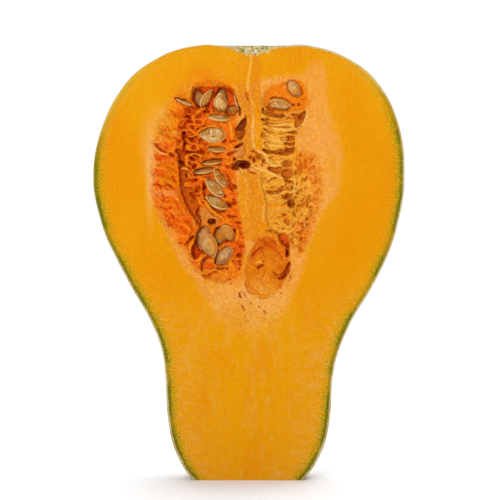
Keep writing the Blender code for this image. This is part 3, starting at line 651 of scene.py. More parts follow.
        (((-0.5, 107.8), (0.6, 106.4), (2.6, 106)), 0.4, 1.4),
        (((1.1, 77.3), (2.2, 78.6), (3.2, 79.6), (4.4, 80.3), (5.3, 80.1)), 0.42, 1.3),
        (((5.2, 81.2), (6.8, 81.2), (8.4, 80.4), (9.8, 79.2), (11, 77.8), (11.5, 76.2)), 0.4, 0.7),
        (((4.6, 79.2), (5.4, 78.3)), 0.3, 0.8),
        (((13.9, 75.2), (13.5, 73.4), (12.9, 71.8), (12, 70.5), (11, 69.9), (10, 70.3)), 0.75, 2.6),
        (((8.5, 71.9), (9.6, 70.9), (10.7, 71.1), (11.5, 71.4), (12.3, 72.6)), 0.32, 1.4),
        (((-1.1, 68.4), (-0.4, 66.2), (0.2, 65.2), (1.2, 64.7), (2.4, 64.6)), 0.4, 1),
        (((3, 63.2), (4.6, 63), (6.6, 63.3)), 0.3, 0.5),
        (((6, 84), (8, 83), (9.4, 81.8)), 0.3, 0.7),
        (((3.6, 83.6), (6.4, 82.2), (8.8, 81)), 0.28, 0.6),
    ),
    # raised threads, ropes, flaps and lips: points, half width, depth of the top, colour. Those coloured
    # bright are painted highlights along raised edges.
    "threads": (
        ((
            (-24.5, 109.4), (-24.3, 103), (-23.7, 99), (-22.5, 95.5), (-20.9, 92.5), (-19.2, 90),
        ), 0.45, 0.9, "tuft"),
        (((-23.4, 107.6), (-22.2, 107.7), (-21, 107.2)), 0.5, 2.2, "paleGold"),
        (((-21.6, 106.4), (-21, 105.4), (-20.4, 104.2)), 0.28, 2.6, "gold"),
        (((-22.2, 101.8), (-20.8, 102.2), (-19.6, 101.4)), 1.2, 2.2, "pulp"),
        ((
            (-16.6, 96.6), (-15, 96.3), (-13.6, 94.2), (-12.4, 92.8), (-10.8, 91.6), (-9, 90.6),
            (-8, 89.8),
        ), 0.55, 1, "bright"),
        (((-32.6, 115), (-31.2, 113.8), (-29.6, 112.8), (-28, 112.4)), 0.4, 0.5, "peachBright"),
        (((-28.2, 114), (-27, 113.4), (-25.6, 113.9)), 0.4, 0.6, "bright"),
        (((-26.8, 126), (-25.6, 124.9), (-24.2, 124)), 0.3, 0.6, "bright"),
        (((-29.2, 122.4), (-28.2, 121.4), (-27.4, 120)), 0.3, 0.5, "bright"),
        (((-16, 78.2), (-17.2, 76.4), (-18.4, 75.6)), 0.45, 1.2, "bright"),
        (((-18.6, 84.2), (-19.4, 82.4), (-20.2, 80.4), (-20.4, 78.8)), 0.45, 0.9, "bright"),
        (((-15.6, 73.9), (-13.8, 74.2), (-12.2, 73.6)), 1, 1.8, "tuft"),
        (((-15.2, 109.3), (-13, 109.8), (-10, 109.4)), 0.28, 2, "gold"),
        (((-17, 107.6), (-14, 108.2), (-10.2, 108)), 0.28, 2.4, "pulp"),
        (((-18.4, 119.8), (-16, 121.2), (-12.6, 122.2), (-9.2, 121.4)), 0.4, 1.3, "bright"),
        (((-6.6, 124.4), (-6, 121), (-5.6, 117.6)), 0.9, 1.6, "bright"),
        (((-17.8, 126.8), (-16, 128.6), (-14.8, 127.9)), 0.35, 1.8, "bright"),
        (((-21.4, 123), (-19, 122.6), (-18, 120.6)), 0.35, 1.5, "tuft"),
        (((-21, 118.6), (-18.6, 118.9), (-17.4, 119.8)), 0.35, 1.5, "bright"),
        (((-20.8, 116), (-18.6, 116.2), (-16.4, 115.2), (-14.8, 113.9)), 0.38, 1.4, "tuft"),
        (((-21.2, 112.2), (-18.4, 112.6), (-15.6, 111.6)), 0.35, 1.5, "bright"),
        (((-6.6, 116.2), (-5.8, 114.4), (-7.2, 113.6)), 0.4, 1.6, "bright"),
        (((-8.4, 109.8), (-6.4, 109.4), (-5.6, 111.8)), 0.45, 1.6, "bright"),
        (((-8, 106.2), (-8.4, 103.4), (-7.4, 100)), 0.4, 1.5, "tuft"),
        (((-5.6, 104), (-5.2, 102.8), (-4.2, 102.2)), 0.5, 1.2, "bright"),
        (((-19.6, 106.6), (-17.4, 107.2), (-16, 104.6)), 0.35, 2, "tuft"),
        (((-18.8, 102.2), (-16.6, 102.9), (-16.2, 99.6)), 0.4, 1.9, "tuft"),
        (((-6.8, 98.6), (-5, 98.2), (-3.6, 99.4)), 0.5, 1.4, "tuft"),
        (((-7, 89.2), (-5.4, 89.6), (-3.8, 90.6)), 0.45, 1.3, "tuft"),
        (((-4.2, 87.4), (-3.6, 85), (-4.4, 82.4)), 0.5, 1.1, "bright"),
        (((-5.6, 82), (-4.2, 81), (-3, 79.2)), 0.45, 1.3, "tuft"),
        (((-6.4, 74.8), (-5, 73.2), (-5.8, 70.4)), 0.5, 1, "bright"),
        (((-10.6, 72.6), (-8.6, 71.6), (-6.8, 71.2)), 0.5, 0.9, "bright"),
        (((-3.2, 107.9), (-2.5, 107), (-2.4, 105.8)), 0.42, 0.9, "paleGold"),
        (((20, 128.4), (19.9, 126), (19, 123.6), (18, 122.2), (16.4, 121.2)), 0.4, 0.5, "paleGold"),
        (((4.4, 124.6), (7, 123.8), (10, 123.6), (13, 123.9), (15.6, 124.2)), 0.55, 3.2, "gold"),
        (((5, 123), (8, 122.4), (11, 122.6), (14.6, 123)), 0.35, 2.6, "paleGold"),
        (((5, 121.4), (7.4, 120.4), (11, 120.1), (15.4, 120.6)), 0.3, 2.2, "gold"),
        (((7.2, 121.6), (10, 121), (13, 121.1), (16, 121.4), (18, 122)), 0.4, 2, "paleGold"),
        (((4.6, 120), (7, 118.9), (10, 118.7), (13.2, 119.2), (15.9, 119.4)), 0.5, 1.6, "gold"),
        (((4.4, 119.2), (6, 118), (8, 117.3), (10, 116.9), (12.6, 116.8)), 0.5, 1.9, "paleGold"),
        (((11, 117.9), (12, 117.6), (13.2, 117.9)), 0.8, 2.2, "tan"),
        (((12, 117.2), (14, 116.7), (16, 117.1)), 0.35, 2.4, "gold"),
        (((12.2, 115.5), (14.2, 115), (15.8, 115.5)), 0.4, 2.2, "paleGold"),
        (((5.6, 116.2), (8, 115.4), (10.4, 115.2), (12.6, 115.4)), 1.05, 1.5, "gold"),
        (((6.4, 115.9), (9, 115.6), (12.2, 115.8)), 0.35, 1.3, "paleGold"),
        ((
            (1.8, 114.4), (3.6, 113.4), (5.4, 112.6), (6.2, 111), (7.2, 109.6), (8.8, 108.5),
            (11.4, 109),
        ), 0.65, 0.9, "paleGold"),
        (((7, 111.2), (9.6, 111), (12, 111.4), (14.6, 110.4)), 0.5, 2.6, "recess"),
        (((10.8, 110.4), (12.2, 110.6), (13.8, 111.3)), 0.35, 2, "gold"),
        (((15.8, 120), (16.2, 116), (15.8, 112), (15.2, 108.6), (16, 105)), 0.35, 0.9, "gold"),
        ((
            (0.5, 108.7), (3, 107.7), (5.6, 107), (8, 105.9), (10.6, 104.7), (12, 104.2),
        ), 0.6, 0.6, "paleGold"),
        (((5, 106.2), (7.4, 105), (9.4, 104.9)), 0.4, 0.9, "gold"),
        (((4.6, 102.4), (7.2, 101.8), (10, 102.8), (12.4, 103.2)), 0.5, 1, "gold"),
        (((5.4, 100.9), (7.6, 100.4), (10, 100.9)), 0.35, 1, "bright"),
        ((
            (6.2, 98.9), (8, 98.3), (10, 98.5), (11.4, 99.2), (12.6, 99.8), (15, 99.6), (17.4, 100.4),
        ), 0.42, 0.8, "paleGold"),
        (((6.2, 96.6), (8.4, 96), (10.8, 96.6), (12.4, 97)), 0.4, 1, "gold"),
        (((6.4, 94.9), (9, 94.6), (12, 95.4)), 0.4, 1, "bright"),
        (((7, 93), (9.6, 92.4), (12.2, 92.9), (14.6, 93.2)), 0.4, 1, "gold"),
        (((7, 90.6), (9.6, 90.2), (11.8, 90.8), (14, 91)), 0.4, 1, "bright"),
        (((7.4, 88.6), (10, 88), (12.8, 87.6), (15, 87.9)), 0.4, 1, "gold"),
        (((9.6, 86.8), (12, 86.2), (14.4, 86.6)), 0.4, 1.1, "gold"),
        (((14, 97.2), (15.4, 98.2), (17.4, 98.4), (19.6, 97.6)), 0.35, 0.8, "paleGold"),
        (((15.8, 104.6), (15.9, 102), (15.2, 99.9)), 0.4, 0.8, "paleGold"),
        (((16, 97.4), (16.4, 95.4), (15.8, 93.4)), 0.4, 0.8, "gold"),
        (((18.6, 90), (19.2, 88.6), (19.9, 86.8)), 0.25, 0.5, "paleGold"),
        (((14.6, 94), (14.2, 92), (14.6, 89.6), (14.2, 87)), 0.4, 0.8, "gold"),
        (((17, 94.4), (17.4, 92.4), (16.8, 89.8)), 0.35, 0.8, "gold"),
        (((2.3, 78.2), (3.5, 79), (4.6, 79.5)), 0.3, 0.7, "tuft"),
        (((6.3, 77.6), (7.5, 76.9), (8.3, 76.5)), 0.28, 0.7, "paleGold"),
        (((8.6, 71), (9.8, 70.2), (11.2, 70.6), (12.4, 71.8)), 0.2, 1, "disc"),
        (((0.6, 67), (1.6, 65.6), (3, 64.6)), 0.6, 0.7, "orange"),
        (((2.6, 64.6), (4.2, 63.8), (6, 63.8), (7.2, 64.6)), 0.6, 0.6, "orange"),
        (((-0.6, 70), (-0.4, 68), (0.6, 66.4)), 0.5, 0.7, "orange"),
        (((3.4, 76.6), (5.4, 77.3), (7.2, 76.8), (9, 75.6)), 0.6, 0.7, "disc"),
        (((2.2, 75), (3.6, 75.6), (5, 75)), 0.35, 0.8, "gold"),
    ),
    # pale veins, which lie almost level: points, half width, colour, strength
    "veins": (
        (((1.6, 126), (1.4, 122), (1.4, 118), (1.8, 115.4), (2.6, 114)), 0.5, "vein", 0.9),
        (((0.9, 147), (0.7, 144), (0.2, 141), (-0.3, 138), (-0.4, 134)), 0.4, "paleGold", 0.85),
        (((0.9, 134), (1.2, 130), (1.6, 126)), 0.3, "vein", 0.5),
        ((
            (-1.2, 106), (-0.6, 103), (-0.4, 100), (-1.1, 96.4), (-0.9, 94), (-0.3, 92), (0, 90),
        ), 0.32, "vein", 0.5),
        ((
            (3.4, 105), (3.4, 103), (3.8, 101.6), (4.6, 99.6), (5, 97.6), (5.6, 96), (5.4, 94),
            (5.2, 92), (5, 90), (5.8, 88.6),
        ), 0.38, "vein", 0.6),
        (((5.2, 95), (5, 92), (5.1, 89.6)), 0.6, "vein", 0.5),
        (((-1.4, 62), (-1.2, 60), (-0.4, 58.4)), 0.8, "peachPink", 0.8),
        (((-0.6, 58.6), (-0.2, 56), (0.2, 52)), 0.7, "peachPink", 0.5),
        (((1.6, 60), (1.8, 57), (1.2, 53)), 0.5, "peachPink", 0.4),
    ),
}

canvas = {
    "low": (-38.0, 44.0),     # the drawing's corners, and the size of its cells
    "high": (36.0, 151.5),
    "step": 0.12,
    "deepest": 16,            # nothing is drawn deeper below the cut than this
    "margin": 0.5,
    "ragged": 0.3,            # how far the edges of the forms wander, and over what distance
    "raggedSize": 1.4,
}


def seedFrames():
    # middle and axes of every seed in the frame: long axis to the tip, broad axis, thin axis, half sizes
    found = {}
    for name in sorted(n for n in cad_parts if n.startswith("seed_")):
        points = np.unique(np.round(coordinates(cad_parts[name].data) / mm, 5), axis=0)
        middle = (points.max(0) + points.min(0)) / 2
        _, _, axes = np.linalg.svd(points - points.mean(0), full_matrices=False)
        along = (points - middle) @ axes.T
        middle = middle + ((along.max(0) + along.min(0)) / 2) @ axes
        along = (points - middle) @ axes.T
        halves = (along.max(0) - along.min(0)) / 2
        broad = np.abs(along[:, 1])
        if broad[along[:, 0] > 0.6 * halves[0]].max() > broad[along[:, 0] < -0.6 * halves[0]].max():
            axes[0] = -axes[0]
        if axes[2] @ np.array((0, 1, 0)) > 0:
            axes[2] = -axes[2]
        axes[1] = np.cross(axes[2], axes[0])
        found[name] = (middle, axes, halves)
    return found


def seedBackDepth(x, z, seed, gap):
    # depth of a seed's far side under each point, or -1 beside it
    middle, axes, halves = seed
    shape = axes.T @ np.diag(1 / (halves + gap) ** 2) @ axes
    dx, dz = x - middle[0], z - middle[2]
    a = shape[1, 1]
    b = 2 * (shape[0, 1] * dx + shape[1, 2] * dz)
    c = shape[0, 0] * dx**2 + shape[2, 2] * dz**2 + 2 * shape[0, 2] * dx * dz - 1
    inside = b * b - 4 * a * c
    back = (-b + np.sqrt(np.maximum(inside, 0))) / (2 * a) + middle[1] - cutY
    return np.where(inside > 0, back, -1.0)


class Drawing:
    # the cut as a fine grid: how deep each place lies and what colour it has
    def __init__(self, low, high, step):
        self.low, self.step = np.array(low), step
        self.x, self.z = np.meshgrid(np.arange(low[0], high[0], step), np.arange(low[1], high[1], step))
        self.ragged = [
            way + canvas["ragged"] * layeredWaves(self.x, self.z, canvas["raggedSize"], seed)
            for way, seed in ((self.x, 11), (self.z, 23))
        ]
        self.depth = np.zeros(self.x.shape)
        self.colour = np.ones(self.x.shape + (1,)) * np.array(dyes["flesh"], float)

    def near(self, points, margin):
        points = np.array(points, float)
        first = np.floor((points.min(0) - margin - self.low) / self.step).astype(int).clip(0)
        last = np.ceil((points.max(0) + margin - self.low) / self.step).astype(int).clip(1)
        part = slice(first[1], last[1]), slice(first[0], last[0])
        return part, self.ragged[0][part], self.ragged[1][part]

    def oval(self, middle, half, turn, edge):
        part, x, z = self.near([middle], max(half) * (1 + edge) + canvas["margin"])
        return part, spot(x, z, middle, half, turn, edge)

    def area(self, outline, edge):
        path = smoothPath(outline, max(0.6, 0.5 * edge), closed=True)
        part, x, z = self.near(path, edge + canvas["margin"])
        return part, smooth(-edge / 2, edge / 2, insideDistance(x, z, path))

    def line(self, points, half, taper=0.3):
        # 0 along the middle of a stroke and 1 at its edge; it narrows to its ends
        path = smoothPath(points, 0.4)
        part, x, z = self.near(path, half + canvas["margin"])
        away, along = lineDistance(x, z, path)
        width = half * (0.35 + 0.65 * np.sqrt(smooth(0, taper, along) * smooth(0, taper, 1 - along)))
        return part, away / width

    def sink(self, part, share, deep):
        self.depth[part] += deep * share

    def level(self, part, share, deep):
        self.depth[part] += share * (deep - self.depth[part])

    def dye(self, part, share, name):
        share = np.asarray(share)[..., None]
        self.colour[part] += share * (np.array(dyes[name], float) - self.colour[part])

    def dyeAll(self, amount, name, strength=1.0):
        # over the whole drawing, wherever the amount is above nought
        self.dye((slice(None), slice(None)), np.clip(amount, 0, 1) * strength, name)


def drawAreas(cut):
    # broad areas first; each covers what lies under it
    shares = {}
    for name, (outline, edge, deep, colour, strength) in cavity["areas"].items():
        part, share = cut.area(outline, edge)
        cut.level(part, share, deep)
        cut.dye(part, strength * share, colour)
        for covered in shares.values():
            covered[part] *= 1 - share
        shares[name] = np.zeros(cut.x.shape)
        shares[name][part] = share
    for middle, half, turn, edge, colour, strength in cavity["patches"]:
        part, share = cut.oval(middle, half, turn, edge)
        cut.dye(part, strength * share, colour)
    return shares


# Grain: the relief and mottling of each area

def grainLeftPulp(cut, x, z, pulp):
    # ridges that run across and branch, with red pits between them near the left wall; the pits and low
    # strands are darkened red as painted shade, the ridges lightened as painted highlights
    bentX = x + 0.9 * waves(x, z, 2.8, 81)
    bentZ = z + 0.7 * waves(x, z, 2.8, 91)
    net = np.abs(waves(bentX * 0.75, bentZ * 1.2, 2.2, 41))
    strand = layeredWaves(bentX * 0.45, bentZ, 1.3, 51)
    pitted = 0.25 + 0.75 * smooth(-12, -18, x) * smooth(88, 94, z)
    ridges = (1 - smooth(0.0, 0.22, net)) * pulp
    pits = smooth(0.2, 0.55, net) * pitted * pulp
    cut.depth += 1.5 * pits - 0.4 * ridges + 0.45 * strand * pulp
    cut.dyeAll(pits, "deepPulpAndShade", 0.6)
    cut.dyeAll(smooth(0.5, 0.95, pits), "red", 0.6)
    cut.dyeAll(1.2 * strand, "deepPulpAndShade", 0.6 * pulp)
    cut.dyeAll(0.4 * ridges + 0.6 * np.clip(-strand, 0, 1), "bright", pulp)
    lower = smooth(79, 72, z + 0.25 * x) * pulp
    cut.depth -= lower
    cut.dyeAll(0.7 + layeredWaves(x, z, 2.4, 71), "crumb", 0.85 * lower)


def grainTufts(cut, x, z, tufts):
    # lumps with hairs that run down to the right; painted shade makes the creases and low places dark red,
    # painted highlights make the raised hairs pale
    along, across = 0.84 * x - 0.54 * z, 0.54 * x + 0.84 * z
    across = across + 0.9 * waves(x, z, 4.5, 3) + 0.3 * waves(x, z, 1.6, 4)
    hair = layeredWaves(along * 0.3, across, 1.2, 5, 4)
    lump = waves(along * 0.5, across, 3.4, 60)
    crease = 1 - smooth(0.0, 0.2, np.abs(waves(along * 0.4, across, 2.6, 61)))
    crumb = layeredWaves(x, z, 0.9, 6)
    cut.depth += tufts * (0.95 * hair + 0.9 * lump + 0.3 * crumb + 0.5 * crease)
    cut.dyeAll(1.2 * hair + 0.25 * lump, "redTuft", 0.75 * tufts)
    cut.dyeAll(0.4 - hair, "bright", 0.6 * smooth(100, 92, z) * tufts)
    cut.dyeAll(crease, "redTuft", 0.3 * tufts)
    cut.dyeAll(1.3 * hair + lump - 0.6, "holeShade", 0.7 * tufts)
    cut.dyeAll(-1.2 * hair - 0.5 * lump, "bright", 0.7 * tufts)
    cut.dyeAll(-crumb - 0.2, "crumb", 0.5 * tufts)
    cut.dyeAll(-hair - 0.3 * lump, "peachBright", 0.8 * smooth(-24, -31, x + 0.1 * (z - 105)) * tufts)


def grainGoldNet(cut, x, z, net):
    # crumbly threads that sag between the tongue and the right side; their low parts are darkened and their
    # raised parts paler, as painted shade and highlight, and the eyes between them take painted brown shade
    sag = z - 0.035 * (x - 9) ** 2 + waves(x, z, 3.2, 8)
    thread = layeredWaves(x * 0.45, sag, 1.0, 15, 4)
    crumb = layeredWaves(x, z, 1.0, 16)
    eyes = smooth(0.25, 0.6, np.abs(waves(x * 0.7 + 0.5 * waves(x, z, 2, 17), sag, 1.5, 19)))
    eyes = eyes * smooth(7, 13, x)
    cut.depth += net * (0.6 * thread + 0.35 * crumb + eyes)
    cut.dyeAll(1.2 * thread + 0.4 * crumb, "crumb", 0.7 * net)
    cut.dyeAll(-1.1 * thread - 0.4 * crumb, "paleGold", 0.6 * net)
    cut.dyeAll(eyes, "brown", 0.7 * net)


def grainRightSponge(cut, x, z, sponge):
    # pale crumbs over pits darkened red-brown as painted shade, shallower to the right
    bentX, bentZ = (way + 0.6 * waves(x, z, 2.2, seed) for way, seed in ((x, 27), (z, 28)))
    web = np.abs(waves(bentX, bentZ, 1.7, 29))
    grain = layeredWaves(x, z, 1.1, 30, 4)
    pits = (1 - 0.5 * smooth(16.5, 22, x)) * smooth(0.15, 0.5, web)
    cut.depth += sponge * (pits + 0.35 * grain - 0.3)
    cut.dyeAll(smooth(0.22, 0.6, web), "discRed", (0.75 - 0.3 * smooth(16.5, 21, x)) * sponge)
    cut.dyeAll(1 - smooth(0, 0.25, web), "peachPink", 0.35 * sponge)
    cut.dyeAll(1.3 * grain + 0.15, "disc", 0.7 * sponge)


def grainRecess(cut, x, z, recess):
    # a curtain of fine sagging fibres behind the ropes, brown in its low places and towards its deeper right
    # side as painted shade, pale gold where the fibres stand up
    sag = z - 0.06 * (x - 9) ** 2 + 0.6 * waves(x, z, 2.8, 26)
    curtain = layeredWaves(x * 0.3, sag, 0.9, 25, 4)
    cut.depth += recess * (0.4 * curtain + 0.5 * smooth(11, 15, x) - 1.7 * smooth(9, 4.5, x))
    cut.dyeAll(curtain + 0.2 * smooth(11, 15, x), "brown", 0.25 * recess)
    cut.dyeAll(-1.2 * curtain, "paleGold", 0.6 * recess)


def grainBay(cut, x, z, bay):
    cut.depth += 0.35 * layeredWaves(x, z, 1.4, 36) * bay
    cut.dyeAll(layeredWaves(x, z, 1.7, 35) + 0.5, "pulp", 0.8 * bay)


def grainUpright(cut, x, z, upright):
    # fine upright streaks
    streak = layeredWaves(x + 0.3 * waves(x, z, 2.5, 46), z * 0.2, 0.9, 45)
    grain = layeredWaves(x, z * 0.7, 0.8, 47)
    cut.depth += upright * (0.12 * streak + 0.1 * grain)
    cut.dyeAll(streak + 0.4 * grain, "disc", 0.6 * upright)
    cut.dyeAll(-streak - 0.4 * grain, "gold", 0.5 * upright)


def grainPeach(cut, x, z, peach):
    # soft crumbs, paler low down
    crumb = layeredWaves(x, z * 0.8, 1.3, 55, 4)
    broad = layeredWaves(x, z, 5.0, 56)
    cut.depth += 0.3 * crumb * peach
    cut.dyeAll(crumb + 0.3 * broad, "halo", 0.45 * peach)
    cut.dyeAll(-crumb - 0.3 * broad, "peachPink", 0.8 * peach)
    cut.dyeAll(1.4 * layeredWaves(x, z, 0.9, 57), "peachPink", 0.7 * smooth(76, 62, z) * peach)


def grainDisc(cut, x, z, disc):
    # the round fold: crumbs that swirl about its middle
    ring, turn = np.hypot(x - 6.5, (z - 74) * 0.8), np.arctan2(z - 74, x - 6.5)
    swirl = layeredWaves(ring + 0.4 * waves(x, z, 2.2, 66), turn * 1.8, 1.2, 65)
    grain = layeredWaves(x, z, 1.0, 67)
    cut.depth += disc * (0.25 * swirl + 0.2 * grain)
    cut.dyeAll(swirl + 0.5 * grain, "discRed", 0.6 * disc)
    cut.dyeAll(-swirl - 0.5 * grain, "halo", 0.45 * disc)


def grainCrust(cut, x, z, crust):
    # the scar, rough and corky
    rough = layeredWaves(x, z, 1.1, 75)
    fine = layeredWaves(x, z, 0.8, 77)
    cut.depth += crust * (0.4 * rough + 0.3 * fine)
    cut.dyeAll(1.6 * rough, "crustGreen", 0.85 * crust)
    cut.dyeAll(1.6 * fine - 0.2, "crustDark", 0.8 * crust)


grains = {
    "leftPulp": grainLeftPulp, "tufts": grainTufts, "goldNet": grainGoldNet,
    "rightSponge": grainRightSponge, "recess": grainRecess, "bay": grainBay, "upright": grainUpright,
    "peach": grainPeach, "disc": grainDisc, "crust": grainCrust,
}


# Details: single pockets, dents, grooves, threads and veins over the grain

def hollowShadeDye(x, z, isDeep):
    # painted shade for hollows: red in the pulp on the left, brown among the golden threads on the right
    if x > 3 and z > 84:
        return "umberShade" if isDeep else "brown"
    return "holeShade" if isDeep else "deepPulpAndShade"


def drawPockets(cut):
    for outline, edge, deep, colour in cavity["pockets"].values():
        part, share = cut.area(outline, edge)
        x, z = cut.x[part], cut.z[part]
        rough = layeredWaves(x * 0.6, z * 0.35, 0.9, 85) + layeredWaves(x, z, 1.0, 86)
        ridgeDye = "tan" if outline[0][0] > -6 else "tuft"
        cut.level(part, share, deep + 0.35 * rough)
        # each pocket takes its colour, the dark ones as painted shade; its low spots are darkened as painted
        # shade too, its raised spots made paler
        cut.dye(part, 0.92 * share, colour)
        cut.dye(part, 0.5 * share * np.clip(rough, 0, 1), hollowShadeDye(*outline[0], True))
        cut.dye(part, 0.6 * share * np.clip(-rough, 0, 1), ridgeDye)


def drawHollows(cut):
    # dents and grooves are sunk and darkened as painted shade, with a darker shade past this depth
    deepFrom = 1.5  # past this depth a dent or groove takes the deep dye
    for dents in cavity["dents"].values():
        for x, z, long, short, turn, deep in dents:
            part, share = cut.oval((x, z), (1.1 * long, 1.1 * short), turn, 0.6)
            cut.sink(part, share, min(0.8 * deep, 3 * short))
            cut.dye(part, share * (0.4 + 0.4 * smooth(1, 4, deep)), hollowShadeDye(x, z, deep > deepFrom))
    for points, half, deep in cavity["grooves"]:
        part, reach = cut.line(points, half)
        share = 1 - smooth(0.3, 1.5, reach)
        cut.sink(part, share, min(0.8 * deep, 3 * half))
        cut.dye(part, share * (0.35 + 0.4 * smooth(0.6, 3, deep)), hollowShadeDye(*points[0], deep > deepFrom))


def drawRaised(cut):
    for points, half, top, colour in cavity["threads"]:
        part, reach = cut.line(points, half)
        share = 1 - smooth(0.85, 1.3, reach)
        cut.level(part, share, top + 0.7 * half * np.minimum(reach, 1.2) ** 2)
        cut.dye(part, 0.9 * (1 - smooth(0.5, 1.25, reach)), colour)
    for points, half, colour, strength in cavity["veins"]:
        part, reach = cut.line(points, half, 0.15)
        share = 1 - smooth(0.4, 1.4, reach)
        cut.sink(part, share, -0.12)
        cut.dye(part, strength * share, colour)


seedBed = {
    "inset": 0.2,            # how far the pulp's room for a seed stays inside the seed
    "lipDepth": 0.35,        # how far behind the seed's middle the pulp swells up round it
    "reach": 1.5,            # how far round a seed the pulp swells up
}


def bedSeeds(cut, seeds):
    # the pulp swells up round each seed, then each seed's own room is taken out; where a room lies deeper
    # than the pulp it is darkened as painted shade
    rooms = []
    for seed in seeds.values():
        part, x, z = cut.near([seed[0][[0, 2]]], max(seed[2]) + seedBed["reach"])
        back = seedBackDepth(x, z, seed, -seedBed["inset"])
        rooms.append((part, back))
        lip = smooth(0.05, 0.55, blurred((back > 0).astype(float), 5)) * smooth(0.8, 2.0, cut.depth[part])
        cut.level(part, lip, seed[0][1] - cutY - seedBed["lipDepth"])
    for part, back in rooms:
        deeper = back > cut.depth[part]
        cut.depth[part] = np.where(deeper, back, cut.depth[part])
        cut.dye(part, 0.6 * deeper, "holeShade")


def drawCavity(seeds):
    cut = Drawing(canvas["low"], canvas["high"], canvas["step"])
    rim = insideDistance(cut.x, cut.z, smoothPath(cavity["rim"], 1.5, closed=True))
    shares = drawAreas(cut)
    shares["upright"] = np.clip(shares["tongue"] + shares["column"], 0, 1)
    for name, grain in grains.items():
        grain(cut, cut.x, cut.z, shares[name])
    drawPockets(cut)
    drawHollows(cut)
    drawRaised(cut)
    bedSeeds(cut, seeds)
    cut.depth = np.maximum(cut.depth, 0) * smooth(-1.6, 1.4, rim)

    # painted shade makes deep and narrow places darker and redder, browner among the golden threads; painted
    # highlight makes ridges paler
    below = cut.depth - blurred(cut.depth, int(0.7 / cut.step))
    wide = cut.depth - blurred(cut.depth, int(1.8 / cut.step))
    inner = smooth(0.5, 1.6, cut.depth)
    shade = inner * (0.4 * smooth(0.1, 0.9, below) + 0.15 * smooth(0.3, 2.0, wide))
    golden = smooth(2.5, 5, cut.x) * smooth(82, 86, cut.z) * smooth(128, 126, cut.z)
    cut.dyeAll(shade, "red", 1 - golden)
    cut.dyeAll(shade, "brown", golden)
    cut.dyeAll(smooth(0.1, 0.6, -below), "bright", 0.3 * inner)
    cut.wet = smooth(0.6, 2.0, cut.depth)
    cut.crumbly = smooth(-4.5, 1.0, rim)
    return cut


def drawnAt(cut, field, x, z):
    # the drawing's value under each point, blended between its four cells
    rows, columns = cut.x.shape
    u = np.clip((x - cut.low[0]) / cut.step, 0, columns - 1.001)
    v = np.clip((z - cut.low[1]) / cut.step, 0, rows - 1.001)
    i, j = u.astype(int), v.astype(int)
    fu, fv = u - i, v - j
    if field.ndim == 3:
        fu, fv = fu[:, None], fv[:, None]
    low = field[j, i] * (1 - fu) + field[j, i + 1] * fu
    high = field[j + 1, i] * (1 - fu) + field[j + 1, i + 1] * fu
    return low * (1 - fv) + high * fv


# Cut face: points close together where there is something to see
face = {
    "busyDepth": 0.75,    # what lies deeper than this gets the closest points
    "busyStep": 0.27,
    "peachStep": 0.46,
    "rindStep": 0.42,
    "rindBand": 4.0,
    "plainStep": 1.3,
    "edgeGap": 0.3,
}


def staggered(low, high, step):
    rise = step * math.sqrt(3) / 2
    rows = np.arange(low[1], high[1], rise)
    across = np.arange(low[0], high[0], step)
    x, z = np.meshgrid(across, rows)
    x = x + (np.arange(len(rows)) % 2)[:, None] * step / 2
    return np.stack([x.ravel(), z.ravel()], 1)


def fillOutline(outline, inner):
    # triangles over an outline and loose points inside it
    flat = [Vector(p) for p in np.vstack([outline, inner])]
    points, _, faces, _, _, _ = delaunay_2d_cdt(flat, [], [list(range(len(outline)))], 1, 1e-5)
    return np.array([tuple(p) for p in points]), faces


def facePoints(outline, cut):
    busy = blurred((cut.depth > face["busyDepth"]).astype(float), 5)
    low, high = outline.min(0), outline.max(0)
    fine = staggered(cut.low, cut.low + np.array(cut.x.shape[::-1]) * cut.step, face["busyStep"])
    fine = fine[(drawnAt(cut, busy, *fine.T) > 0.05) & (insideDistance(*fine.T, outline) > face["edgeGap"])]
    middle = staggered(low, high, face["peachStep"])
    peach = smoothPath(cavity["areas"]["peach"][0], 1.5, closed=True)
    nearPeach = insideDistance(*middle.T, peach) > -2
    nearPeach |= (np.abs(middle[:, 0] - 1) < 4.5) & (middle[:, 1] > 132)
    nearPeach &= insideDistance(*middle.T, outline) > face["edgeGap"]
    middle = middle[nearPeach & (drawnAt(cut, busy, *middle.T) <= 0.05)]
    band = staggered(low, high, face["rindStep"])
    away = insideDistance(*band.T, outline)
    band = band[(away > face["edgeGap"]) & (away < face["rindBand"])]
    plain = staggered(low, high, face["plainStep"])
    plain = plain[insideDistance(*plain.T, outline) > face["rindBand"]]
    return np.vstack([fine, middle, band, plain])


def meshFrom(name, points, faces):
    mesh = bpy.data.meshes.new(name)
    mesh.from_pydata((points * mm).tolist(), [], faces)
    piece = bpy.data.objects.new(name, mesh)
    bpy.context.scene.collection.objects.link(piece)
    return piece


def makeCutFace(edge, cut):
    outline = edge[:, [0, 2]]
    points, faces = fillOutline(outline, facePoints(outline, cut))
    depth = drawnAt(cut, cut.depth, *points.T)
    depth[: len(outline)] = 0
    return meshFrom("cutFace", np.stack([points[:, 0], cutY + depth, points[:, 1]], 1), faces)


def makeFoot(ring):
    outline = ring[:, :2]
    inner = staggered(outline.min(0), outline.max(0), 0.9)
    inner = inner[insideDistance(*inner.T, outline) > 0.4]
    points, faces = fillOutline(outline, inner)
    return meshFrom("foot", np.column_stack([points, np.zeros(len(points))]), faces)


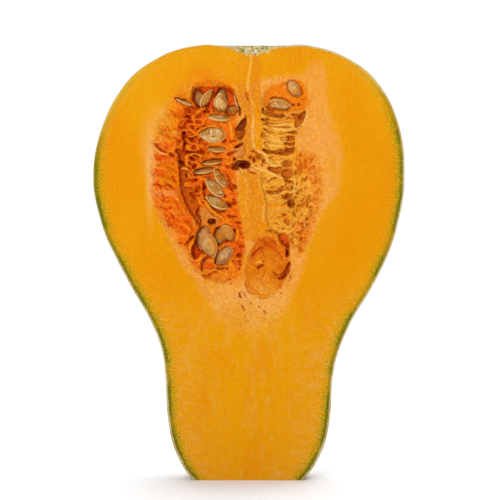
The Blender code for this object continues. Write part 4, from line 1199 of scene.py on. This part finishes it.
def makeBody(seeds):
    cut = drawCavity(seeds)
    print("stage: cavity drawn")
    skin, edge, foot = makeSkin()
    parts = [skin, makeCutFace(edge, cut), makeFoot(foot)]
    finishes = (skinFinish(), fleshFinish("cutFlesh", 0.6, 0.02), fleshFinish("wetPulp", 0.45, 0.025))
    for k, part in enumerate(parts):
        part.data.materials.clear()
        for finish in finishes:
            part.data.materials.append(finish)
        part.data.polygons.foreach_set("material_index", [min(k, 1)] * len(part.data.polygons))
    deselectAll()
    for part in parts:
        part.select_set(True)
    bpy.context.view_layer.objects.active = skin
    bpy.ops.object.join()
    bpy.ops.object.mode_set(mode="EDIT")
    bpy.ops.mesh.select_all(action="SELECT")
    bpy.ops.mesh.remove_doubles(threshold=1e-6)
    bpy.ops.mesh.normals_make_consistent(inside=False)
    bpy.ops.object.mode_set(mode="OBJECT")
    bpy.ops.object.shade_smooth_by_angle(angle=math.radians(72))
    paintBody(skin, edge, cut)
    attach(skin, "root")
    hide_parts("squash_half")


# How the rind shows along the cut: the pale skin line and the green line under it
rindShow = {
    "skinWidth": (0.5, 0.2),      # on the neck, and on the bulb's left side
    "greenLeft": (129, 99),       # heights between which the green sets in, going down
    "greenRight": (138, 126),
    "fibreLean": 0.45,            # how steeply the neck's fibres fan out
    "neckEnds": (45, 75),         # heights between which the neck gives way to the bulb
    "bulbStarts": (70, 95),
    "scarMiddle": 0.9,
    "scarStarts": (144, 146),
}


def paintBody(body, edge, cut):
    # what the finishes read, point by point
    x, y, z = (coordinates(body.data) / mm).T
    paintRind(body.data, x, y, z, edge)
    wet = paintCut(body.data, x, y, z, cut)
    wetFaces(body.data, wet > 0.5)


def paintRind(mesh, x, y, z, edge):
    side = edge[:, [0, 2]]
    side = np.vstack([side[0] - (7, 9), side, side[-1] - (-7, 9)])
    away, along = lineDistance(x, z, side)
    along = along * np.linalg.norm(np.diff(side, axis=0), axis=1).sum()
    atFoot = (z < 0.001) & (y > cutY + 0.01)
    away = np.where(atFoot, skinDistanceAtFoot(x, y), away)
    neck = 1 - smooth(*rindShow["neckEnds"], z)
    upper = smooth(*rindShow["bulbStarts"], z) * (x < 0)
    left = 1 - smooth(*reversed(rindShow["greenLeft"]), z)
    right = 1 - smooth(*reversed(rindShow["greenRight"]), z)
    putAttribute(mesh, "rind", away)
    putAttribute(mesh, "fibre", along + np.sign(x) * rindShow["fibreLean"] * neck * away)
    putAttribute(mesh, "green", np.where(x < 0, left, right))
    putAttribute(mesh, "neck", neck)
    angle = np.arctan2(y - cutY - 2.0 * neck, x)
    putAttribute(mesh, "rib", 0.5 - 0.5 * np.cos(fruit["ribs"] * angle))
    fromScar = np.hypot(x - rindShow["scarMiddle"], y - cutY)
    crown = np.clip(1.15 - fromScar / fruit["scarRadius"], 0, 1) * smooth(*rindShow["scarStarts"], z)
    putAttribute(mesh, "crown", crown)
    putAttribute(mesh, "skinWidth", np.interp(upper, (0, 1), rindShow["skinWidth"]))


def skinDistanceAtFoot(x, y):
    radius, _, shift = fruit["side"][0]
    return np.abs(radius - np.hypot(x - shift, y - cutY - fruit["neckLean"]))


def paintCut(mesh, x, y, z, cut):
    # colours come from the drawing on the cut, and are plain on the skin behind it
    gap = canvas["margin"]
    across = (x > canvas["low"][0] + gap) & (x < canvas["high"][0] - gap)
    onCut = across & (z > canvas["low"][1] + gap) & (y < cutY + canvas["deepest"])
    drawn = drawnAt(cut, cut.colour, x, z)
    drawn = np.where(onCut[:, None], drawn, np.array(dyes["flesh"], float))
    light = np.array(linear(*drawn.T)[:3]).T
    tint = mesh.color_attributes.new("tint", "FLOAT_COLOR", "POINT")
    tint.data.foreach_set("color", np.column_stack([light, np.ones(len(x))]).astype(np.float32).ravel())
    wet = np.where(onCut, drawnAt(cut, cut.wet, x, z), 0)
    putAttribute(mesh, "wet", wet)
    putAttribute(mesh, "crumbly", np.where(onCut, drawnAt(cut, cut.crumbly, x, z), 0))
    return wet


def wetFaces(mesh, isWet):
    # a face of the cut whose first point is wet takes the third finish
    count = len(mesh.polygons)
    index = np.empty(count, np.int32)
    mesh.polygons.foreach_get("material_index", index)
    corner = np.empty(len(mesh.loops), np.int32)
    mesh.loops.foreach_get("vertex_index", corner)
    start = np.empty(count, np.int32)
    mesh.polygons.foreach_get("loop_start", start)
    index[(index == 1) & isWet[corner[start]]] = 2
    mesh.polygons.foreach_set("material_index", index)


# Finishes

class Nodes:
    # a short way to write a material's nodes
    def __init__(self, name):
        self.material = bpy.data.materials.new(name)
        self.material.use_nodes = True
        self.tree = self.material.node_tree
        self.shader = self.tree.nodes["Principled BSDF"]
        self.objectCoordinates = self.add("ShaderNodeTexCoord").outputs["Object"]

    def add(self, kind, **settings):
        node = self.tree.nodes.new(kind)
        for key, value in settings.items():
            setattr(node, key, value)
        return node

    def link(self, source, socket):
        if hasattr(source, "is_output"):
            self.tree.links.new(source, socket)
        else:
            socket.default_value = source

    def attribute(self, name, output="Fac"):
        return self.add("ShaderNodeAttribute", attribute_name=name).outputs[output]

    def height(self):
        split = self.add("ShaderNodeSeparateXYZ")
        self.link(self.objectCoordinates, split.inputs[0])
        return split.outputs["Z"]

    def math(self, operation, first, second):
        node = self.add("ShaderNodeMath", operation=operation)
        self.link(first, node.inputs[0])
        self.link(second, node.inputs[1])
        return node.outputs[0]

    def times(self, first, *others):
        for other in others:
            first = self.math("MULTIPLY", first, other)
        return first

    def ramp(self, value, low, high, out=(0.0, 1.0)):
        node = self.add("ShaderNodeMapRange", interpolation_type="SMOOTHSTEP")
        names = ("Value", "From Min", "From Max", "To Min", "To Max")
        for name, source in zip(names, (value, low, high, *out)):
            self.link(source, node.inputs[name])
        return node.outputs[0]

    def mix(self, share, first, second, blend="MIX"):
        node = self.add("ShaderNodeMix", data_type="RGBA", blend_type=blend)
        for name, source in zip(("Factor", "A", "B"), (share, first, second)):
            self.link(source, node.inputs[name])
        return node.outputs["Result"]

    def noise(self, scale, detail, stretch=(1, 1, 1), at=None):
        mapping = self.add("ShaderNodeMapping")
        mapping.inputs["Scale"].default_value = stretch
        self.link(at or self.objectCoordinates, mapping.inputs["Vector"])
        node = self.add("ShaderNodeTexNoise")
        node.inputs["Scale"].default_value = scale
        node.inputs["Detail"].default_value = detail
        self.link(mapping.outputs[0], node.inputs["Vector"])
        return node.outputs["Fac"]

    def combine(self, x, y):
        node = self.add("ShaderNodeCombineXYZ")
        self.link(x, node.inputs["X"])
        self.link(y, node.inputs["Y"])
        return node.outputs[0]

    def bump(self, height, distance, strength):
        node = self.add("ShaderNodeBump")
        node.inputs["Strength"].default_value = strength
        node.inputs["Distance"].default_value = distance
        self.link(height, node.inputs["Height"])
        return node.outputs[0]

    def finish(self, colour, roughness, normal, specular):
        self.link(colour, self.shader.inputs["Base Color"])
        self.link(roughness, self.shader.inputs["Roughness"])
        self.shader.inputs["Specular IOR Level"].default_value = specular
        if normal:
            self.link(normal, self.shader.inputs["Normal"])
        return self.material


fleshColours = {
    "deep": linear(239, 143, 0),
    "pale": linear(241, 165, 9),
    "neckDeep": linear(238, 162, 3),
    "neckPale": linear(236, 168, 66),
    "neckRich": linear(240, 140, 2),
    "speck": linear(248, 206, 130),
    "green": linear(112, 108, 10),
    "olive": linear(158, 146, 22),
    "yellowGreen": linear(196, 158, 12),
    "lobe": linear(226, 184, 62),
    "lobeLine": linear(188, 148, 14),
    "skin": linear(216, 198, 150),
    "skinWarm": linear(204, 172, 104),
}
crustColours = {
    "buff": linear(212, 190, 134),
    "olive": linear(152, 142, 62),
    "dark": linear(122, 92, 50),
    "cream": linear(238, 226, 190),
}
skinColours = {
    "tan": linear(200, 148, 76),
    "sand": linear(206, 172, 108),
    "furrow": linear(132, 128, 58),
    "vein": linear(160, 128, 62),
    "olive": linear(124, 124, 56),
    "speck": linear(222, 196, 140),
}


def crustTone(n):
    # the corky scar: buff, olive, cream and dark brown crumbs
    c = crustColours
    grains = n.noise(1100, 4)
    colour = n.mix(n.ramp(n.noise(700, 4), 0.46, 0.6), c["buff"], c["olive"])
    colour = n.mix(n.ramp(grains, 0.55, 0.65, (0, 0.85)), colour, c["dark"])
    return n.mix(n.ramp(grains, 0.46, 0.38, (0, 0.9)), colour, c["cream"])


def mottledFlesh(n, mottle, dry):
    # the drawing's colours, with soft mottles, paler in the lobes at the top
    c = fleshColours
    colour = n.attribute("tint", "Color")
    colour = n.mix(n.times(n.ramp(mottle, 0.52, 0.7, (0, 0.55)), dry), colour, c["deep"])
    colour = n.mix(n.times(n.ramp(mottle, 0.48, 0.3, (0, 0.5)), dry), colour, c["pale"])
    plain = n.times(dry, n.math("SUBTRACT", 1.0, n.attribute("crumbly")))
    lobes = n.times(n.ramp(n.height(), 0.112, 0.14, (0, 0.45)), plain, n.ramp(mottle, 0.62, 0.45))
    return n.mix(lobes, colour, c["pale"])


def neckFlesh(n, colour, rind, byRind):
    # the neck's fibres: they fan out near the rind and stand upright in the middle
    c = fleshColours
    neck = n.attribute("neck")
    colour = n.mix(n.times(neck, 0.7), colour, c["neckDeep"])
    fan = n.times(n.ramp(rind, 19.0, 4.0), n.ramp(byRind, 0.42, 0.6))
    upright = n.ramp(n.noise(420, 6, (1, 1, 0.2)), 0.5, 0.7, (0, 0.6))
    middle = n.times(n.ramp(rind, 6.0, 16.0), upright)
    patchy = n.ramp(n.noise(130, 4), 0.35, 0.6, (0.3, 1.0))
    colour = n.mix(n.times(n.math("MAXIMUM", fan, middle), neck, patchy, 0.8), colour, c["neckPale"])
    blotch = n.ramp(n.noise(150, 4, (1, 1, 0.5)), 0.5, 0.66, (0, 0.4))
    return n.mix(n.times(blotch, neck, n.ramp(rind, 5.0, 12.0, (0.15, 1))), colour, c["neckRich"])


def grainedFlesh(n, colour, rind, byRind, dry):
    # fibres that meet the rind squarely, fine grain, specks, wet glints and crumbs
    c = fleshColours
    wet, crumbly = n.attribute("wet"), n.attribute("crumbly")
    fan = n.times(n.ramp(rind, 11.0, 2.0), n.ramp(byRind, 0.5, 0.7, (0, 0.4)), dry)
    colour = n.mix(fan, colour, c["pale"])
    grain = n.noise(620, 5, (1, 1, 0.6))
    colour = n.mix(n.times(n.ramp(grain, 0.52, 0.7, (0, 0.35)), dry), colour, c["deep"])
    paler = n.mix(n.attribute("neck"), c["pale"], c["neckPale"])
    colour = n.mix(n.times(n.ramp(grain, 0.46, 0.32, (0, 0.35)), dry), colour, paler)
    speck = n.times(n.ramp(n.noise(1500, 3), 0.56, 0.7), n.ramp(rind, 9.0, 1.0, (0, 0.22)))
    colour = n.mix(speck, colour, c["speck"])
    shining = n.math("MAXIMUM", wet, n.times(crumbly, 0.8))
    colour = n.mix(n.times(n.ramp(n.noise(1250, 2), 0.62, 0.72, (0, 0.45)), shining), colour, c["speck"])
    granules = n.ramp(n.noise(1500, 4), 0.3, 0.7, (0.94, 1.05))
    crumbs = n.ramp(n.noise(1700, 4), 0.3, 0.7, (0.84, 1.14))
    return n.mix(1.0, colour, n.mix(crumbly, granules, crumbs), "MULTIPLY")


def rindEdge(n, colour, rind):
    # green that fades inwards in fine spots, then the pale skin line
    c = fleshColours
    fine = n.ramp(n.noise(1500, 4), 0.3, 0.7, (-1.0, 1.0))
    wander = n.math("ADD", rind, n.times(fine, 0.3))
    spots = n.math("ADD", rind, n.times(fine, 1.5))
    patchy = n.ramp(n.noise(110, 3), 0.36, 0.52, (0.45, 1.0))
    green = n.times(n.attribute("green"), patchy)
    tinge = n.times(n.ramp(spots, 5.0, 1.0, (0, 0.75)), n.ramp(green, 0, 1, (0.12, 1.0)))
    colour = n.mix(tinge, colour, c["yellowGreen"])
    bare = n.times(n.ramp(n.attribute("green"), 0.8, 0), n.ramp(n.height(), 0.147, 0.136))
    colour = n.mix(n.times(n.ramp(spots, 3.2, 0.6, (0, 0.6)), bare), colour, c["lobe"])
    line = n.times(n.ramp(wander, 2.6, 1.4, (0, 0.4)), n.ramp(wander, 0.6, 1.2), patchy, bare)
    colour = n.mix(line, colour, c["lobeLine"])
    colour = n.mix(n.times(n.ramp(spots, 3.4, 1.2, (0, 0.8)), green), colour, c["olive"])
    colour = n.mix(n.times(n.ramp(wander, 2.15, 0.95, (0, 0.95)), green), colour, c["green"])
    inSkin = n.math("SUBTRACT", n.attribute("skinWidth"), rind)
    skinLine = n.ramp(n.math("ADD", inSkin, n.times(fine, 0.15)), -0.3, 0.15)
    skinTone = n.mix(n.ramp(n.noise(120, 3), 0.4, 0.6), c["skin"], c["skinWarm"])
    return n.mix(skinLine, colour, skinTone)


def scarShare(n, rind):
    # how much of the cut's top edge is crust, deepest in the scar's middle
    crown = n.attribute("crown")
    ragged = n.math("ADD", rind, n.times(n.ramp(n.noise(520, 4), 0.3, 0.7, (-1, 1)), 0.9))
    shallow = n.math("SUBTRACT", ragged, n.times(crown, 2.2))
    return n.times(n.ramp(crown, 0.0, 0.12), n.ramp(shallow, 0.8, 0.2))


def fleshFinish(name, roughness, specular):
    n = Nodes(name)
    rind = n.attribute("rind")
    byRind = n.noise(1.0, 6, at=n.combine(n.times(n.attribute("fibre"), 1.1), n.times(rind, 0.2)))
    dry = n.math("SUBTRACT", 1.0, n.attribute("wet"))
    colour = mottledFlesh(n, n.noise(60, 5, (1, 1, 0.6)), dry)
    colour = neckFlesh(n, colour, rind, byRind)
    colour = grainedFlesh(n, colour, rind, byRind, dry)
    colour = rindEdge(n, colour, rind)
    colour = n.mix(scarShare(n, rind), colour, crustTone(n))
    return n.finish(colour, roughness, n.bump(n.noise(900, 4), 0.00015, 0.5), specular)


def skinFinish():
    # tan skin, olive in the furrows, with fine upright veins, olive patches and pale specks
    n = Nodes("squashSkin")
    c = skinColours
    colour = n.mix(n.ramp(n.noise(40, 5, (1, 1, 0.4)), 0.35, 0.65), c["tan"], c["sand"])
    streaks = n.ramp(n.noise(55, 5, (1, 1, 0.22)), 0.36, 0.6)
    colour = n.mix(n.times(n.ramp(n.attribute("rib"), 0.3, 0.95), streaks, 0.75), colour, c["furrow"])
    colour = n.mix(n.ramp(n.noise(330, 5, (1, 1, 0.12)), 0.5, 0.64, (0, 0.55)), colour, c["vein"])
    colour = n.mix(n.ramp(n.noise(210, 4, (1, 1, 0.5)), 0.58, 0.72, (0, 0.5)), colour, c["olive"])
    colour = n.mix(n.ramp(n.noise(1300, 3), 0.6, 0.72, (0, 0.5)), colour, c["speck"])
    crusty = n.ramp(n.noise(700, 4), 0.3, 0.7, (0.5, 1.0))
    colour = n.mix(n.times(n.ramp(n.attribute("crown"), 0.05, 0.25), crusty), colour, crustTone(n))
    roughness = n.ramp(n.noise(300, 4), 0.3, 0.7, (0.4, 0.6))
    return n.finish(colour, roughness, n.bump(n.noise(260, 5, (1, 1, 0.5)), 0.0004, 0.35), 0.18)


# Seeds
seedShape = {
    "segments": 40,
    "rings": 20,
    "groove": (0.82, 0.04, 0.13),    # where the groove inside the margin lies, its width and depth
    "margin": (0.93, 0.045, 0.204),  # the same for the raised margin, with its height
    "fullness": 0.85,
    "taper": 0.42,                   # how much narrower the tip's end is
    "length": 0.955,
    "backwards": 0.05,
    # how dry and whitish each seed's coat is; the rest carry orange film
    "bleached": {
        "seed_01": 0.9, "seed_02": 0.5, "seed_04": 0.9, "seed_07": 0.5, "seed_08": 0.6, "seed_09": 0.65,
        "seed_10": 0.4, "seed_12": 0.35, "seed_13": 0.7, "seed_14": 0.7, "seed_15": 0.6, "seed_17": 0.05,
        "seed_18": 0.25, "seed_19": 0.05, "seed_20": 0.25, "seed_21": 0.45, "seed_22": 0.55,
    },
    "usuallyBleached": 0.3,
}
seedColours = {
    "light": linear(206, 146, 62),
    "dark": linear(162, 100, 30),
    "cream": linear(230, 188, 112),
    "film": linear(228, 134, 8),
    "glint": linear(248, 230, 186),
    "groove": linear(140, 80, 20),
    "margin": linear(230, 180, 104),
}


def makeSeedForm():
    # a ball pressed into a flat drop with a raised margin, tip along +X, one unit long each way
    deselectAll()
    segments, rings = seedShape["segments"], seedShape["rings"]
    bpy.ops.mesh.primitive_uv_sphere_add(segments=segments, ring_count=rings, radius=1)
    form = bpy.context.object
    a, b, c = coordinates(form.data).T
    reach = np.clip(np.hypot(a, b), 0, 1)
    dome = np.clip(1 - (reach / 0.98) ** 3.4, 0, 1) ** 0.6
    groove, margin = (
        height * np.exp(-(((reach - place) / width) ** 2))
        for place, width, height in (seedShape["groove"], seedShape["margin"])
    )
    thick = np.sign(c) * (seedShape["fullness"] * dome - groove + margin)
    thick = np.where(np.abs(c) < 1e-6, 0, thick)
    tip = np.maximum(0, a)
    long = a * seedShape["length"] * (1 + 0.1 * tip**3) - seedShape["backwards"]
    broad = b * (1 - seedShape["taper"] * tip**1.6)
    form.data.vertices.foreach_set("co", np.stack([long, broad, thick], 1).ravel())
    putAttribute(form.data, "reach", reach)
    bpy.ops.object.shade_smooth()
    form.data.materials.append(seedFinish())
    return form


def seedFinish():
    # a brown coat under cream, orange film and pale glints, with a groove darkened as painted shade and a
    # pale margin
    n = Nodes("seedCoat")
    c = seedColours
    reach, bleached = n.attribute("reach"), n.attribute("bleached")
    colour = n.mix(n.ramp(n.noise(640, 4), 0.44, 0.66), c["light"], c["dark"])
    cream = n.times(n.ramp(n.noise(260, 5), 0.42, 0.56), n.ramp(bleached, 0, 1, (0.12, 1.0)))
    colour = n.mix(cream, colour, c["cream"])
    filmed = n.ramp(bleached, 1, 0, (0.35, 0.95))
    colour = n.mix(n.times(n.ramp(n.noise(240, 5, (1.3, 1, 1)), 0.45, 0.55), filmed), colour, c["film"])
    glints = n.times(n.ramp(n.noise(600, 4), 0.56, 0.66), n.ramp(bleached, 0, 1, (0.15, 0.85)))
    colour = n.mix(glints, colour, c["glint"])
    # painted shade in the groove inside the margin
    groove = n.times(n.ramp(reach, 0.7, 0.82), n.ramp(reach, 0.92, 0.86), 0.65)
    colour = n.mix(groove, colour, c["groove"])
    colour = n.mix(n.ramp(reach, 0.86, 0.94, (0, 0.6)), colour, c["margin"])
    n.shader.inputs["Coat Weight"].default_value = 0.22
    n.shader.inputs["Coat Roughness"].default_value = 0.3
    return n.finish(colour, 0.45, n.bump(n.noise(700, 4), 0.00012, 0.35), 0.06)


def placeSeeds(seeds):
    form = makeSeedForm()
    for name, (middle, axes, halves) in seeds.items():
        piece = form.copy()
        piece.data = form.data.copy()
        piece.name = name.replace("seed_", "seedFine")
        bpy.context.scene.collection.objects.link(piece)
        turn = Matrix(axes.T.tolist()).to_4x4()
        size = Matrix.Diagonal((*(halves * mm), 1))
        piece.data.transform(Matrix.Translation(Vector(middle * mm)) @ turn @ size)
        if turn.determinant() < 0:
            piece.data.flip_normals()
        share = seedShape["bleached"].get(name, seedShape["usuallyBleached"])
        putAttribute(piece.data, "bleached", np.full(len(piece.data.vertices), share))
        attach(piece, "root")
        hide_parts(name)
    bpy.data.objects.remove(form, do_unlink=True)


# Studio: white floor and surroundings, soft light from above, and the camera square to the cut
studio = {
    "roomLight": (0.4, 1.04),      # how bright the room is all round, and behind the fruit
    "behind": (0.8, 0.985),        # where the second of these sets in, as the way's share of +Y
    "topPlace": (0.15, 0.55, 1.0),
    "topPower": 2.6,
    "topSpread": 70,
    "keyPlace": (-0.4, -1.3, 0.42),
    "keyPower": 12.4,
    "keySize": 0.45,
    "floorSize": 12.0,
    "floorColour": (0.93, 0.957, 0.985, 1),
    "aim": (0.0004, 0.0796),       # x and height at the picture's middle
    "distance": 0.9,
    "elevation": 2.5,
    "sensor": 36,
    "pictureWidth": 0.172,         # width of the cut's plane that the picture spans
}


def makeRoom():
    world = bpy.data.worlds.new("whiteRoom")
    bpy.context.scene.world = world
    world.use_nodes = True
    nodes, links = world.node_tree.nodes, world.node_tree.links
    way = nodes.new("ShaderNodeSeparateXYZ")
    links.new(nodes.new("ShaderNodeTexCoord").outputs["Generated"], way.inputs[0])
    bright = nodes.new("ShaderNodeMapRange")
    links.new(way.outputs["Y"], bright.inputs["Value"])
    bright.inputs["From Min"].default_value, bright.inputs["From Max"].default_value = studio["behind"]
    bright.inputs["To Min"].default_value, bright.inputs["To Max"].default_value = studio["roomLight"]
    nodes["Background"].inputs["Color"].default_value = (1, 1, 1, 1)
    links.new(bright.outputs[0], nodes["Background"].inputs["Strength"])


def addLight(kind, name, place, power, target):
    deselectAll()
    bpy.ops.object.light_add(type=kind, location=place)
    light = bpy.context.object
    light.name = name
    light.data.energy = power
    aimAt(light, Vector(target))
    return light


def makeStudio():
    makeRoom()
    deselectAll()
    bpy.ops.mesh.primitive_plane_add(size=studio["floorSize"], location=(0, 0, 0))
    floor = bpy.context.object
    floor.name = "floor"
    n = Nodes("paleFloor")
    floor.data.materials.append(n.finish(studio["floorColour"], 0.9, None, 0.0))
    top = addLight("SUN", "softTop", studio["topPlace"], studio["topPower"], (0, 0, 0))
    top.data.angle = math.radians(studio["topSpread"])
    key = addLight("AREA", "softKey", studio["keyPlace"], studio["keyPower"], (0, 0, 0.08))
    key.data.size = studio["keySize"]
    tilt = math.radians(studio["elevation"])
    target = Vector((studio["aim"][0], cutY * mm, studio["aim"][1]))
    place = target + studio["distance"] * Vector((0, -math.cos(tilt), math.sin(tilt)))
    bpy.ops.object.camera_add(location=place)
    camera = bpy.context.object
    camera.data.sensor_width = studio["sensor"]
    camera.data.lens = studio["sensor"] * studio["distance"] / studio["pictureWidth"]
    camera.data.clip_start = 0.01
    aimAt(camera, target)
    bpy.context.scene.camera = camera
    bpy.context.scene.view_settings.view_transform = "Standard"


def aimAt(thing, target):
    thing.rotation_euler = (target - thing.location).to_track_quat("-Z", "Y").to_euler()


seeds = seedFrames()
print("stage: seeds found", len(seeds))
makeBody(seeds)
print("stage: body made")
placeSeeds(seeds)
print("stage: seeds placed")
makeStudio()
print("stage: studio ready")
